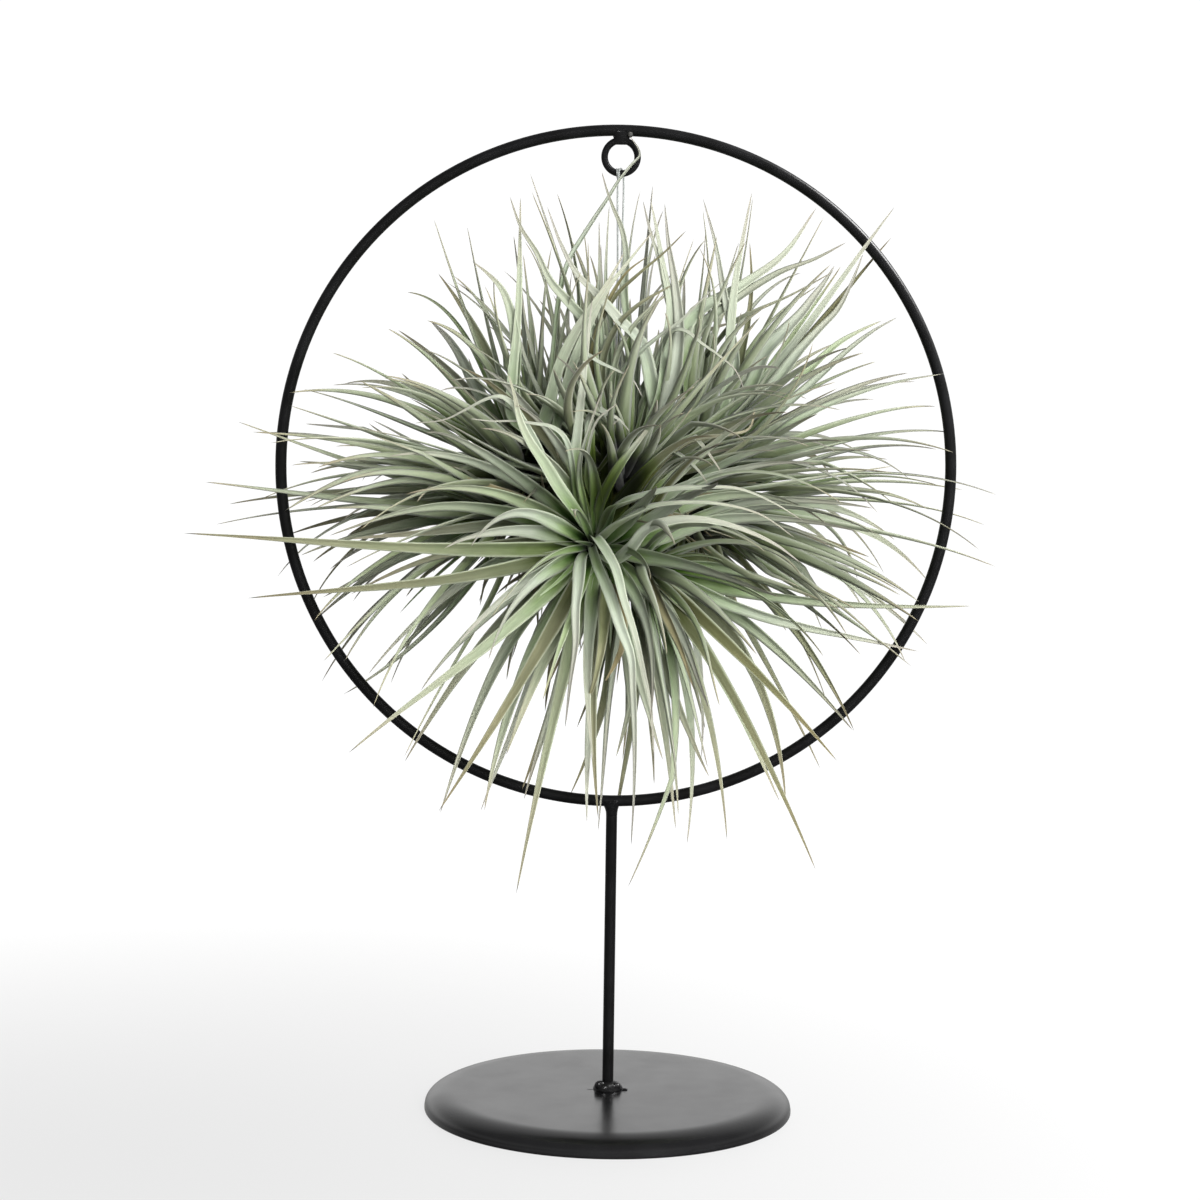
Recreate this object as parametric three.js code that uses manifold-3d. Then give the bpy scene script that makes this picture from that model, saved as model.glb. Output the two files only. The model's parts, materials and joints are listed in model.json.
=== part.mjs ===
// A clump of silver air plant rosettes, hung on a clear line from an eyelet in a black ring stand.
// Millimetres, +Z up. The origin is the middle of the floor plate's underside. The ring stands in the
// XZ plane, and -Y is the front. The leaves follow one seeded rule, so every build gives the same plant.
import * as THREE from "three";
import { mergeVertices } from "three/addons/utils/BufferGeometryUtils.js";
import Module from "manifold-3d";

const wasm = await Module();
wasm.setup();

// The stand
const PLATE_RADIUS = 82;
const PLATE_HEIGHT = 8.5;
const SHOULDER_WIDTH = 12;
const LIP_HEIGHT = 1.8;
const FREE_ROD = 128;
const BAR_RADIUS = 2.5;
const RING_RADIUS = 147.5;
const EYELET_RADIUS = 7.2;
const WIRE_RADIUS = 1.5;
const SEAT_GAP = 0.3;
const RING_Z = PLATE_HEIGHT + FREE_ROD + BAR_RADIUS + RING_RADIUS;
const EYELET_Z = RING_Z + RING_RADIUS - BAR_RADIUS - SEAT_GAP - WIRE_RADIUS - EYELET_RADIUS;

// The line, doubled between the eyelet's lowest point and the clump's stem
const LINE_RADIUS = 0.4;
const STRAND_SPREAD = 1.1;
const LINE_SIDES = 8;
const KNOT_RADIUS = 1.4;

// The clump's stem: one runner along X, with a short branch to the foot of each rosette
const RUNNER_Z = RING_Z - 20;
const RUNNER_RADIUS = 3.6;
const RUNNER_ENDS = [-28, 24];
const BRANCH_RADIUS = 3.0;
const STEM_SIDES = 5;

// A rosette's core: share of its length and radius
const CORE_LENGTH = 20;
const CORE_SIDES = 5;
const CORE_PROFILE = [[0, 3.8], [0.3, 9], [0.85, 9.6], [1, 5]];

// The rule for leaves
const SEED = 11;
const GOLDEN_ANGLE = Math.PI * (3 - Math.sqrt(5));
const GROWTH_STEPS = 36;
const LONG_LEAF = 118; // a leaf over this length has four straight stretches, and a shorter one three
const RELAX = 38; // length in which a leaf turns to where its neighbours push it
const GRAVITY = 1e-4;
const TRIES = 9;
const CLEARANCE = 0.45;
const OWN_CLEARANCE = 0.1; // between leaves of one rosette, past their first stretch
const SKIN = 0.4; // half the thickness that is kept round each line along a leaf
const TIP_WIDTH = 0.5;
const LEAST_KEEL = 0.6;
const NEIGHBOUR_REACH = 10; // how far round a leaf its neighbours are looked for

// Each rosette: seat of its eye from the ring's centre, axis, where its branch leaves the runner, number
// of leaves, their length from the oldest to the youngest, the oldest leaf's angle in degrees, push on
// other leaves, shortening of the leaves that point up, lowest rise of a leaf, unruliness, and droop.
const HEADS = [
  { name: "head_front", seat: [-10, -54, -32], axis: [0, -1, -0.12], foot: -9, leaves: 48,
    longest: 124, shortest: 84, spread: 100, push: 1.2, crop: 0.2, lowest: -2, mess: 1, droop: 0.45},
  { name: "head_front_right", seat: [14, -44, -42], axis: [0.62, -0.66, -0.4], foot: 8, leaves: 30,
    longest: 132, shortest: 92, spread: 76, push: 0.9, crop: 0.2, lowest: -2, mess: 1, droop: 0.8},
  { name: "head_top", seat: [2, -26, 4], axis: [0, -0.12, 1], foot: 8, leaves: 52,
    longest: 126, shortest: 84, spread: 74, push: 0.8, crop: 0, lowest: -0.1, mess: 1.9, droop: 0.15},
  { name: "head_upper_right", seat: [38, 4, 4], axis: [0.58, -0.05, 0.8], foot: 20, leaves: 48,
    longest: 142, shortest: 104, spread: 66, push: 0.8, crop: 0, lowest: -0.2, mess: 1, droop: 0.3},
  { name: "head_right", seat: [48, 0, -22], axis: [1, -0.14, 0.16], foot: 24, leaves: 50,
    longest: 140, shortest: 92, spread: 70, push: 0.9, crop: 0, lowest: -0.3, mess: 1, droop: 0.4},
  { name: "head_upper_left", seat: [-46, 2, 6], axis: [-0.56, -0.08, 0.8], foot: -24, leaves: 46,
    longest: 138, shortest: 92, spread: 68, push: 0.8, crop: 0, lowest: -0.2, mess: 1, droop: 0.3},
  { name: "head_left", seat: [-52, -8, -20], axis: [-1, -0.2, 0.04], foot: -24, leaves: 58,
    longest: 152, shortest: 96, spread: 70, push: 0.9, crop: 0, lowest: -0.3, mess: 1, droop: 0.35},
  { name: "head_back", seat: [-4, 46, -10], axis: [0, 1, 0.3], foot: -9, leaves: 50,
    longest: 128, shortest: 70, spread: 84, push: 1, crop: 0, lowest: -0.25, mess: 1, droop: 0.25},
  { name: "head_back_right", seat: [34, 38, -26], axis: [0.6, 0.76, 0], foot: 16, leaves: 40,
    longest: 124, shortest: 70, spread: 70, push: 0.9, crop: 0, lowest: -0.3, mess: 1, droop: 0.25},
  { name: "head_back_left", seat: [-38, 36, -24], axis: [-0.6, 0.76, 0], foot: -18, leaves: 40,
    longest: 124, shortest: 70, spread: 70, push: 0.9, crop: 0, lowest: -0.3, mess: 1, droop: 0.25},
];

// Leaves that give the clump its outline: head, tip from the ring's centre, arch and width.
const DRAWN_LEAVES = [
  ["head_front", [-178, -78, -18], 0.5, 7],
  ["head_front", [-160, -86, -30], 0.5, 6.6],
  ["head_front", [-154, -70, -52], 0.5, 6.6],
  ["head_front", [-112, -84, -112], 0.5, 7.2],
  ["head_front", [-70, -82, -140], 0.5, 7.2],
  ["head_front", [-54, -78, -168], 0.5, 6.8],
  ["head_front", [-20, -84, -140], 0.5, 7],
  ["head_front_right", [14, -70, -178], 0.6, 7.2],
  ["head_front_right", [50, -66, -150], 0.6, 6.8],
  ["head_front_right", [66, -60, -156], 0.6, 6.8],
  ["head_front_right", [86, -64, -162], 0.6, 6.8],
  ["head_front_right", [94, -56, -118], 0.6, 6.6],
  ["head_front_right", [110, -52, -100], 0.6, 6.6],
  ["head_front_right", [128, -50, -78], 0.6, 6.6],
  ["head_front_right", [150, -46, -58], 0.6, 6.8],
  ["head_top", [14, -34, 124], 0.3, 7],
  ["head_top", [-42, -30, 128], 0.3, 7],
  ["head_top", [-36, -44, 122], 0.3, 6.6],
  ["head_top", [30, -40, 102], 0.3, 6.6],
  ["head_upper_right", [40, -6, 116], 0.3, 6.8],
  ["head_upper_right", [60, 4, 122], 0.3, 6.8],
  ["head_upper_right", [88, -4, 114], 0.3, 6.6],
  ["head_upper_right", [120, 6, 106], 0.3, 6.6],
  ["head_upper_left", [-82, -4, 110], 0.3, 6.8],
  ["head_upper_left", [-64, 6, 108], 0.3, 6.8],
  ["head_left", [-176, -40, -8], 0.4, 6.8],
  ["head_left", [-160, -44, 22], 0.4, 6.8],
];

const UP = new THREE.Vector3(0, 0, 1);

// How far the line runs from the middle of the eyelet's wire and of the runner, and where it is tied
const OVER_EYELET = WIRE_RADIUS + LINE_RADIUS + SEAT_GAP;
const ROUND_RUNNER = RUNNER_RADIUS + LINE_RADIUS + SEAT_GAP;
const KNOT = new THREE.Vector3(-0.5, -ROUND_RUNNER - 0.4, RUNNER_Z + 9);

/** A point given from the ring's centre. */
function fromRing([x, y, z]) {
  return new THREE.Vector3(x, y, RING_Z + z);
}

/** a + b * k */
function along(a, b, k) {
  return a.clone().addScaledVector(b, k);
}

/** Returns a function that gives the next number of a seeded row, from 0 to 1. */
function seededRow(seed) {
  let state = seed >>> 0;
  return () => {
    state = (state + 0x6d2b79f5) >>> 0;
    let t = Math.imul(state ^ (state >>> 15), 1 | state);
    t = (t + Math.imul(t ^ (t >>> 7), 61 | t)) ^ t;
    return ((t ^ (t >>> 14)) >>> 0) / 4294967296;
  };
}

for (const head of HEADS) {
  head.eye = fromRing(head.seat);
  head.way = new THREE.Vector3(...head.axis).normalize();
  head.base = along(head.eye, head.way, -CORE_LENGTH);
}

/** The way that the rosettes' push and gravity turn a leaf at a point. */
function fieldAt(point) {
  const sum = new THREE.Vector3(0, 0, -GRAVITY);
  for (const { eye, push } of HEADS) {
    const away = point.clone().sub(eye);
    const square = away.lengthSq() + 30;
    sum.addScaledVector(away, push / (square * Math.sqrt(square)));
  }
  return sum;
}

function widthAt(share, width) {
  const taper = (1 - share) ** 0.9 * (0.4 + 0.6 * Math.min(1, share / 0.25));
  return TIP_WIDTH + (width - TIP_WIDTH) * taper;
}

function keelAt(share, width) {
  return Math.max(LEAST_KEEL, 0.2 * widthAt(share, width));
}

/** The middle line of a leaf that grows from a point, and its width direction at each station. */
function grow(start, out, side, length, sideways, backways, droop) {
  const step = length / GROWTH_STEPS;
  const stretch = GROWTH_STEPS / (length > LONG_LEAF ? 4 : 3);
  const point = start.clone();
  const way = out.clone();
  const across = side.clone();
  const points = [point.clone()];
  const sides = [across.clone()];
  for (let k = 1; k <= GROWTH_STEPS; k++) {
    const share = k / GROWTH_STEPS;
    const want = fieldAt(point).normalize();
    want.addScaledVector(across, sideways * share);
    want.addScaledVector(way.clone().cross(across), backways * share);
    want.z -= droop * share;
    want.normalize();
    way.addScaledVector(want.sub(way), step / RELAX).normalize();
    across.addScaledVector(way, -across.dot(way)).normalize();
    point.addScaledVector(way, step);
    if (k % stretch === 0) {
      points.push(point.clone());
      sides.push(across.clone());
    }
  }
  return { points, sides };
}

/** A leaf from a point to its tip that first follows its rosette's axis: a quadratic curve. */
function arc(start, tip, axis, arch) {
  const span = tip.clone().sub(start);
  const reach = span.length();
  const lead = span.clone().multiplyScalar((1 - arch) / reach).addScaledVector(axis, arch).normalize();
  const middle = along(start, lead, reach * 0.45);
  const across = axis.clone().cross(span).normalize();
  const points = [];
  const sides = [];
  for (let k = 0; k <= 4; k++) {
    const s = k / 4;
    const point = start.clone().multiplyScalar((1 - s) ** 2);
    points.push(point.addScaledVector(middle, 2 * s * (1 - s)).addScaledVector(tip, s * s));
    const way = middle.clone().sub(start).multiplyScalar(1 - s);
    way.addScaledVector(tip.clone().sub(middle), s).normalize();
    across.addScaledVector(way, -across.dot(way)).normalize();
    sides.push(across.clone());
  }
  return { points, sides };
}

/** The two margins and the keel of a leaf at its stations. */
function sections({ points, sides, width, twist }) {
  const last = points.length - 1;
  const left = [];
  const right = [];
  const keel = [];
  for (let i = 0; i <= last; i++) {
    const share = i / last;
    const way = points[Math.min(i + 1, last)].clone().sub(points[Math.max(i - 1, 0)]).normalize();
    const flat = along(sides[i], way, -sides[i].dot(way)).normalize();
    const under = flat.clone().cross(way);
    const turn = twist * share;
    const across = flat.clone().multiplyScalar(Math.cos(turn)).addScaledVector(under, Math.sin(turn));
    const back = under.multiplyScalar(Math.cos(turn)).addScaledVector(flat, -Math.sin(turn));
    const half = widthAt(share, width) / 2;
    left.push(along(points[i], across, -half));
    right.push(along(points[i], across, half));
    keel.push(along(points[i], back, keelAt(share, width)));
  }
  return { left, right, keel };
}

/** The short straight lines along a leaf's margins, its keel and halfway between them. */
function linesOf({ left, right, keel }) {
  const halfway = (a, b) => a.map((p, i) => p.clone().lerp(b[i], 0.5));
  const rows = [left, right, keel, halfway(left, keel), halfway(right, keel)];
  return rows.flatMap((row) => row.slice(1).map((end, i) => ({ ends: [row[i], end], atFoot: i === 0 })));
}

/** The least distance between two straight lines, from their four ends. */
function lineGap({ ends: [p1, q1] }, { ends: [p2, q2] }) {
  const clamp = (v) => Math.min(1, Math.max(0, v));
  const d1 = q1.clone().sub(p1);
  const d2 = q2.clone().sub(p2);
  const r = p1.clone().sub(p2);
  const a = d1.lengthSq();
  const e = d2.lengthSq();
  const f = d2.dot(r);
  const c = d1.dot(r);
  const b = d1.dot(d2);
  const den = a * e - b * b;
  let s = den > 1e-9 ? clamp((b * f - c * e) / den) : 0;
  let t = (b * s + f) / e;
  if (t < 0) s = clamp(-c / a);
  else if (t > 1) s = clamp((b - c) / a);
  t = clamp(t);
  return r.addScaledVector(d1, s).addScaledVector(d2, -t).length();
}

/** Whether a line keeps clear of a round bar bent to a circle in the XZ plane. */
function clearOfCircle({ ends: [p, q] }, centreZ, radius, barRadius) {
  for (let k = 0; k <= 12; k++) {
    const at = p.clone().lerp(q, k / 12);
    const off = Math.hypot(at.x, at.z - centreZ) - radius;
    if (Math.hypot(off, at.y) < barRadius + SKIN + CLEARANCE) return false;
  }
  return true;
}

/** The points of a rosette's branch, from the runner to just short of the rosette's foot. */
function branchCurve(head) {
  const root = new THREE.Vector3(head.foot, 0, RUNNER_Z);
  const end = along(head.base, head.way, -SEAT_GAP);
  const knee = along(end, head.way, -root.distanceTo(end) * 0.4);
  return new THREE.QuadraticBezierCurve3(root, knee, end);
}

// What a leaf must keep clear of: lines with a radius, each belonging to a rosette or to none.
const obstacles = [];

function addObstacle(ends, radius, owner, atFoot = true) {
  obstacles.push({ ends, radius, owner, atFoot, box: new THREE.Box3().setFromPoints(ends) });
}

function addFixedObstacles() {
  for (const head of HEADS) {
    for (let i = 1; i < CORE_PROFILE.length; i++) {
      const [lowShare, lowRadius] = CORE_PROFILE[i - 1];
      const [highShare, highRadius] = CORE_PROFILE[i];
      const ends = [lowShare, highShare].map((s) => along(head.base, head.way, CORE_LENGTH * s));
      addObstacle(ends, Math.max(lowRadius, highRadius), head.name);
    }
    const bend = branchCurve(head).getPoints(4);
    bend.slice(1).forEach((end, i) => addObstacle([bend[i], end], BRANCH_RADIUS, "stem"));
  }
  const wound = RUNNER_RADIUS + SEAT_GAP + 2 * LINE_RADIUS;
  addObstacle(RUNNER_ENDS.map((x) => new THREE.Vector3(x, 0, RUNNER_Z)), wound, "stem");
  for (const way of [-1, 1]) {
    const top = new THREE.Vector3(STRAND_SPREAD * way, OVER_EYELET * way, EYELET_Z - EYELET_RADIUS);
    const foot = new THREE.Vector3(0.5 * way, ROUND_RUNNER * way, RUNNER_Z);
    addObstacle([top, foot], LINE_RADIUS, "line");
  }
  addObstacle([KNOT, along(KNOT, UP, 1)], KNOT_RADIUS, "line");
}

function isClear(lines, owner) {
  const near = new THREE.Box3().setFromPoints(lines.flatMap((line) => line.ends));
  near.expandByScalar(NEIGHBOUR_REACH);
  for (const line of lines) {
    if (!clearOfCircle(line, RING_Z, RING_RADIUS, BAR_RADIUS)) return false;
    if (!clearOfCircle(line, EYELET_Z, EYELET_RADIUS, WIRE_RADIUS)) return false;
  }
  for (const other of obstacles) {
    const own = other.owner === owner;
    if ((own && other.atFoot) || !other.box.intersectsBox(near)) continue;
    const least = other.radius + SKIN + (own ? OWN_CLEARANCE : CLEARANCE);
    if (lines.some((line) => !(own && line.atFoot) && lineGap(line, other) < least)) return false;
  }
  return true;
}

/** Keeps a leaf if it is clear of everything but its own rosette. */
function keep(head, leaf) {
  leaf.faces = sections(leaf);
  const lines = linesOf(leaf.faces);
  if (!isClear(lines, head.name)) return false;
  for (const { ends, atFoot } of lines) addObstacle(ends, SKIN, head.name, atFoot);
  head.kept.push(leaf);
  return true;
}

function drawLeaf(head, tipFromRing, arch, width) {
  const tip = fromRing(tipFromRing);
  const span = tip.clone().sub(head.eye).normalize();
  const off = along(span, head.way, -span.dot(head.way)).normalize();
  const start = along(head.eye, head.way, -CORE_LENGTH * 0.3).addScaledVector(off, 3);
  const aside = span.clone().cross(head.way);
  for (let t = 0; t < TRIES; t++) {
    const shift = 4 * Math.floor((t + 1) / 2) * (t % 2 ? -1 : 1);
    const curve = arc(start, along(tip, aside, shift), head.way, arch);
    if (keep(head, { ...curve, width, twist: 0 })) return;
  }
}

/** Grows a rosette's leaves round its axis, a golden angle apart, the oldest ones first. */
function growHead(head, index) {
  const draw = seededRow(SEED * 1000 + index);
  const { way } = head;
  const lean = Math.abs(way.z) < 0.9 ? [0.13, 0.31, 0.94] : [0.9, 0.4, 0.1];
  const e1 = way.clone().cross(new THREE.Vector3(...lean)).normalize();
  const e2 = way.clone().cross(e1);
  for (let i = 0; i < head.leaves; i++) {
    const age = (i + 0.5) / head.leaves;
    const opening = THREE.MathUtils.degToRad(head.spread) * (1 - age) ** 0.72 + THREE.MathUtils.degToRad(8);
    const round = i * GOLDEN_ANGLE + (draw() - 0.5) * 0.3;
    const full = (head.longest + (head.shortest - head.longest) * age ** 1.6) * (0.88 + 0.24 * draw());
    const width = 5.8 + 1.8 * draw();
    const twist = (draw() - 0.5) * 1.2;
    const sideways = (draw() - 0.5) * 1.3 * head.mess;
    const backways = (draw() - 0.5) * 1.1 * head.mess;
    const rise = Math.cos(opening) * way.z
      + (e1.z * Math.cos(round) + e2.z * Math.sin(round)) * Math.sin(opening);
    if (rise < head.lowest) continue;
    for (let t = 0; t < TRIES; t++) {
      const ease = 1 - t / (TRIES - 1);
      const flip = t % 2 ? -1 : 1;
      const turn = round + flip * 0.1 * t;
      const open = opening * (1 - 0.05 * t);
      const radial = e1.clone().multiplyScalar(Math.cos(turn)).addScaledVector(e2, Math.sin(turn));
      const side = e2.clone().multiplyScalar(Math.cos(turn)).addScaledVector(e1, -Math.sin(turn));
      const start = along(head.eye, way, -CORE_LENGTH * 0.8 * (1 - age)).addScaledVector(radial, 3);
      const out = way.clone().multiplyScalar(Math.cos(open)).addScaledVector(radial, Math.sin(open));
      const length = full * (1 - 0.03 * t) * (1 - head.crop * Math.max(0, out.z));
      const curve = grow(start, out, side, length, sideways * ease * flip, backways * ease, head.droop);
      if (keep(head, { ...curve, width, twist: twist * ease })) break;
    }
  }
}

/** A closed geometry as a solid. */
function solidOf(geometry) {
  const bare = new THREE.BufferGeometry().setAttribute("position", geometry.getAttribute("position"));
  if (geometry.index) bare.setIndex(geometry.index);
  const merged = mergeVertices(bare, 1e-4);
  return new wasm.Manifold(new wasm.Mesh({
    numProp: 3,
    vertProperties: merged.attributes.position.array,
    triVerts: new Uint32Array(merged.index.array),
  }));
}

/** The largest body of a solid as a geometry, without scraps and sealed hollows. */
function geometryOf(solid) {
  const [body] = solid.decompose().sort((a, b) => b.volume() - a.volume());
  const { numProp, vertProperties, triVerts } = body.getMesh();
  const position = new Float32Array((vertProperties.length / numProp) * 3);
  for (let i = 0; i < position.length / 3; i++) {
    position.set(vertProperties.subarray(i * numProp, i * numProp + 3), i * 3);
  }
  return new THREE.BufferGeometry()
    .setAttribute("position", new THREE.BufferAttribute(position, 3))
    .setIndex(new THREE.BufferAttribute(triVerts, 1));
}

/** A leaf as a closed three-sided blade that ends in a point. */
function leafSolid({ points, faces: { left, right, keel } }) {
  const stretches = points.length - 1;
  const corners = [];
  for (let i = 0; i < stretches; i++) corners.push(left[i], right[i], keel[i]);
  corners.push(points[stretches]);
  const tip = corners.length - 1;
  const index = [0, 1, 2];
  for (let edge = 0; edge < 3; edge++) {
    const next = (edge + 1) % 3;
    for (let i = 0; i < stretches - 1; i++) {
      const [a, b, c, d] = [3 * i + edge, 3 * i + next, 3 * i + 3 + next, 3 * i + 3 + edge];
      index.push(a, c, b, a, d, c);
    }
    index.push(tip - 3 + next, tip - 3 + edge, tip);
  }
  return solidOf(new THREE.BufferGeometry().setFromPoints(corners).setIndex(index));
}

/** A regular outline for a bar. */
function roundOutline(radius, sides) {
  const corner = (k) => {
    const angle = (2 * Math.PI * k) / sides;
    return new THREE.Vector2(radius * Math.cos(angle), radius * Math.sin(angle));
  };
  return new THREE.Shape(Array.from({ length: sides }, (_, k) => corner(k)));
}

function barAlong(curve, radius, sides, steps) {
  const options = { steps, bevelEnabled: false, extrudePath: curve };
  return new THREE.ExtrudeGeometry(roundOutline(radius, sides), options);
}

/** Turns a geometry made round Y so that it stands at a point and looks along a direction. */
function placed(geometry, base, way) {
  const turn = new THREE.Quaternion().setFromUnitVectors(new THREE.Vector3(0, 1, 0), way);
  return geometry.applyQuaternion(turn).translate(base.x, base.y, base.z);
}

function coreSolid(head) {
  const outline = CORE_PROFILE.map(([share, radius]) => new THREE.Vector2(radius, CORE_LENGTH * share));
  const profile = [new THREE.Vector2(0, 0), ...outline, new THREE.Vector2(0, CORE_LENGTH)];
  return solidOf(placed(new THREE.LatheGeometry(profile, CORE_SIDES), head.base, head.way));
}

function headGeometry(head) {
  return geometryOf(wasm.Manifold.union([coreSolid(head), ...head.kept.map(leafSolid)]));
}

/** The floor plate: flat below and on top, a small lip at the floor and a broad rounded shoulder. */
function plateGeometry() {
  const profile = [new THREE.Vector2(0, 0), new THREE.Vector2(PLATE_RADIUS - 0.8, 0)];
  profile.push(new THREE.Vector2(PLATE_RADIUS, 0.5), new THREE.Vector2(PLATE_RADIUS, LIP_HEIGHT));
  for (let k = 1; k <= 4; k++) {
    const angle = (k / 4) * (Math.PI / 2);
    const x = PLATE_RADIUS - SHOULDER_WIDTH * (1 - Math.cos(angle));
    const y = LIP_HEIGHT + (PLATE_HEIGHT - LIP_HEIGHT) * Math.sin(angle);
    profile.push(new THREE.Vector2(x, y));
  }
  profile.push(new THREE.Vector2(0, PLATE_HEIGHT));
  return new THREE.LatheGeometry(profile, 48).rotateX(Math.PI / 2);
}

/** A torus in the XZ plane round a point of the stand's middle line. */
function circleGeometry(radius, barRadius, barSides, sides, z) {
  return new THREE.TorusGeometry(radius, barRadius, barSides, sides).rotateX(Math.PI / 2).translate(0, 0, z);
}

function rodGeometry(radius) {
  const length = FREE_ROD - SEAT_GAP;
  const rod = new THREE.CylinderGeometry(radius, radius, length, 16).rotateX(Math.PI / 2);
  return rod.translate(0, 0, PLATE_HEIGHT + length / 2);
}

/** A lumpy collar of weld on the plate, round the rod's foot. */
function footWeldGeometry() {
  const inner = BAR_RADIUS + SEAT_GAP;
  const outline = [[inner, 0], [6.2, 0], [5.6, 1.6], [4.4, 2.9], [inner, 4]];
  const profile = [...outline, outline[0]].map(([x, y]) => new THREE.Vector2(x, y));
  const collar = new THREE.LatheGeometry(profile, 16).rotateX(Math.PI / 2).translate(0, 0, PLATE_HEIGHT);
  const position = collar.getAttribute("position");
  for (let i = 0; i < position.count; i++) {
    const [x, y] = [position.getX(i), position.getY(i)];
    const out = Math.hypot(x, y) - inner;
    if (out < 0.1) continue;
    const angle = Math.atan2(y, x);
    const lump = 1 + (0.1 * Math.sin(3 * angle + 0.6) + 0.07 * Math.sin(5 * angle)) * Math.min(1, out);
    position.setXY(i, x * lump, y * lump);
  }
  return collar;
}

/** A blob of weld at a point, cut back from the bars that it joins. */
function weldGeometry(x, y, z, centreZ, bars) {
  const blob = new THREE.SphereGeometry(1, 10, 7).scale(x, y, z).translate(0, 0, centreZ);
  return geometryOf(bars.reduce((solid, bar) => solid.subtract(solidOf(bar)), solidOf(blob)));
}

function ringWeldGeometry() {
  const room = BAR_RADIUS + SEAT_GAP;
  const ring = circleGeometry(RING_RADIUS, room, 8, 72, RING_Z);
  return weldGeometry(5.4, 4.3, 4.6, PLATE_HEIGHT + FREE_ROD - 0.4, [ring, rodGeometry(room)]);
}

function eyeletWeldGeometry() {
  const ring = circleGeometry(RING_RADIUS, BAR_RADIUS + SEAT_GAP, 8, 72, RING_Z);
  const eyelet = circleGeometry(EYELET_RADIUS, WIRE_RADIUS + SEAT_GAP, 8, 20, EYELET_Z);
  return weldGeometry(4.6, 3.3, 3.6, RING_Z + RING_RADIUS - BAR_RADIUS - 0.6, [ring, eyelet]);
}

/** A smooth curve through points, with as many steps from each point to the next. */
class SteppedCurve extends THREE.CatmullRomCurve3 {
  getUtoTmapping(u) {
    return u;
  }
}

/** The line: from its knot up in front, over the eyelet's lowest point, down behind, round the runner. */
function lineGeometry() {
  const low = EYELET_Z - EYELET_RADIUS;
  const halfTurn = (radius, z, count, up) => Array.from({ length: count }, (_, k) => {
    const angle = (Math.PI * k) / (count - 1);
    return new THREE.Vector3(0, -up * radius * Math.cos(angle), z + up * radius * Math.sin(angle));
  });
  const strand = (way) => [0.25, 0.5, 0.75].map((share) => new THREE.Vector3(
    way * THREE.MathUtils.lerp(0.5, STRAND_SPREAD, share),
    way * THREE.MathUtils.lerp(ROUND_RUNNER, OVER_EYELET, share),
    THREE.MathUtils.lerp(RUNNER_Z, low, share),
  ));
  const over = halfTurn(OVER_EYELET, low, 5, 1);
  over.forEach((point, k) => point.setX(STRAND_SPREAD * (k / 2 - 1)));
  const under = halfTurn(ROUND_RUNNER, RUNNER_Z, 7, -1);
  under.forEach((point, k) => point.setX(0.5 - k / 6));
  const route = [KNOT, ...strand(-1), ...over, ...strand(1).reverse(), ...under, along(KNOT, UP, -0.8)];
  const curve = new SteppedCurve(route, false, "centripetal");
  const tube = solidOf(barAlong(curve, LINE_RADIUS, LINE_SIDES, 2 * (route.length - 1)));
  const ball = new THREE.SphereGeometry(KNOT_RADIUS, 7, 5).translate(...KNOT);
  return geometryOf(tube.add(solidOf(ball)));
}

/** The runner, slightly bent, fused with the branch of every rosette. */
function stemGeometry() {
  const [left, right] = RUNNER_ENDS;
  const bends = [[left, 0, 1], [left / 2, 0.6, -0.6], [0, 0, 0], [right / 2, 0.6, 0.6], [right, 0, -0.6]];
  const runner = new THREE.CatmullRomCurve3(bends.map(([x, y, z]) => new THREE.Vector3(x, y, RUNNER_Z + z)));
  const wood = [solidOf(barAlong(runner, RUNNER_RADIUS, STEM_SIDES, 6))];
  for (const head of HEADS) wood.push(solidOf(barAlong(branchCurve(head), BRANCH_RADIUS, STEM_SIDES, 3)));
  return geometryOf(wasm.Manifold.union(wood));
}

const blackCoat = new THREE.MeshStandardMaterial({ color: 0x1f1f20, roughness: 0.45, metalness: 0.2 });
const clearLine = new THREE.MeshStandardMaterial({ color: 0xc9ccc8, roughness: 0.2, metalness: 0 });
const bark = new THREE.MeshStandardMaterial({ color: 0x6e5a42, roughness: 0.9, metalness: 0 });
const silverLeaf = new THREE.MeshStandardMaterial({ color: 0xa9b7a0, roughness: 0.75, metalness: 0 });

function named(name, geometry, material) {
  const mesh = new THREE.Mesh(geometry, material);
  mesh.name = name;
  return mesh;
}

addFixedObstacles();
for (const head of HEADS) head.kept = [];
for (const [name, tip, arch, width] of DRAWN_LEAVES) {
  drawLeaf(HEADS.find((head) => head.name === name), tip, arch, width);
}
HEADS.forEach(growHead);

const stand = new THREE.Group();
stand.add(
  named("base_disc", plateGeometry(), blackCoat),
  named("upright_rod", rodGeometry(BAR_RADIUS), blackCoat),
  named("foot_weld", footWeldGeometry(), blackCoat),
  named("hoop_ring", circleGeometry(RING_RADIUS, BAR_RADIUS, 8, 72, RING_Z), blackCoat),
  named("ring_weld", ringWeldGeometry(), blackCoat),
  named("hanging_eyelet", circleGeometry(EYELET_RADIUS, WIRE_RADIUS, 8, 20, EYELET_Z), blackCoat),
  named("eyelet_weld", eyeletWeldGeometry(), blackCoat),
);

const plant = new THREE.Group();
plant.add(named("hanging_line", lineGeometry(), clearLine), named("clump_stem", stemGeometry(), bark));
for (const head of HEADS) plant.add(named(head.name, headGeometry(head), silverLeaf));

const skyPlant = new THREE.Group();
skyPlant.add(stand, plant);

export default skyPlant;
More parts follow.
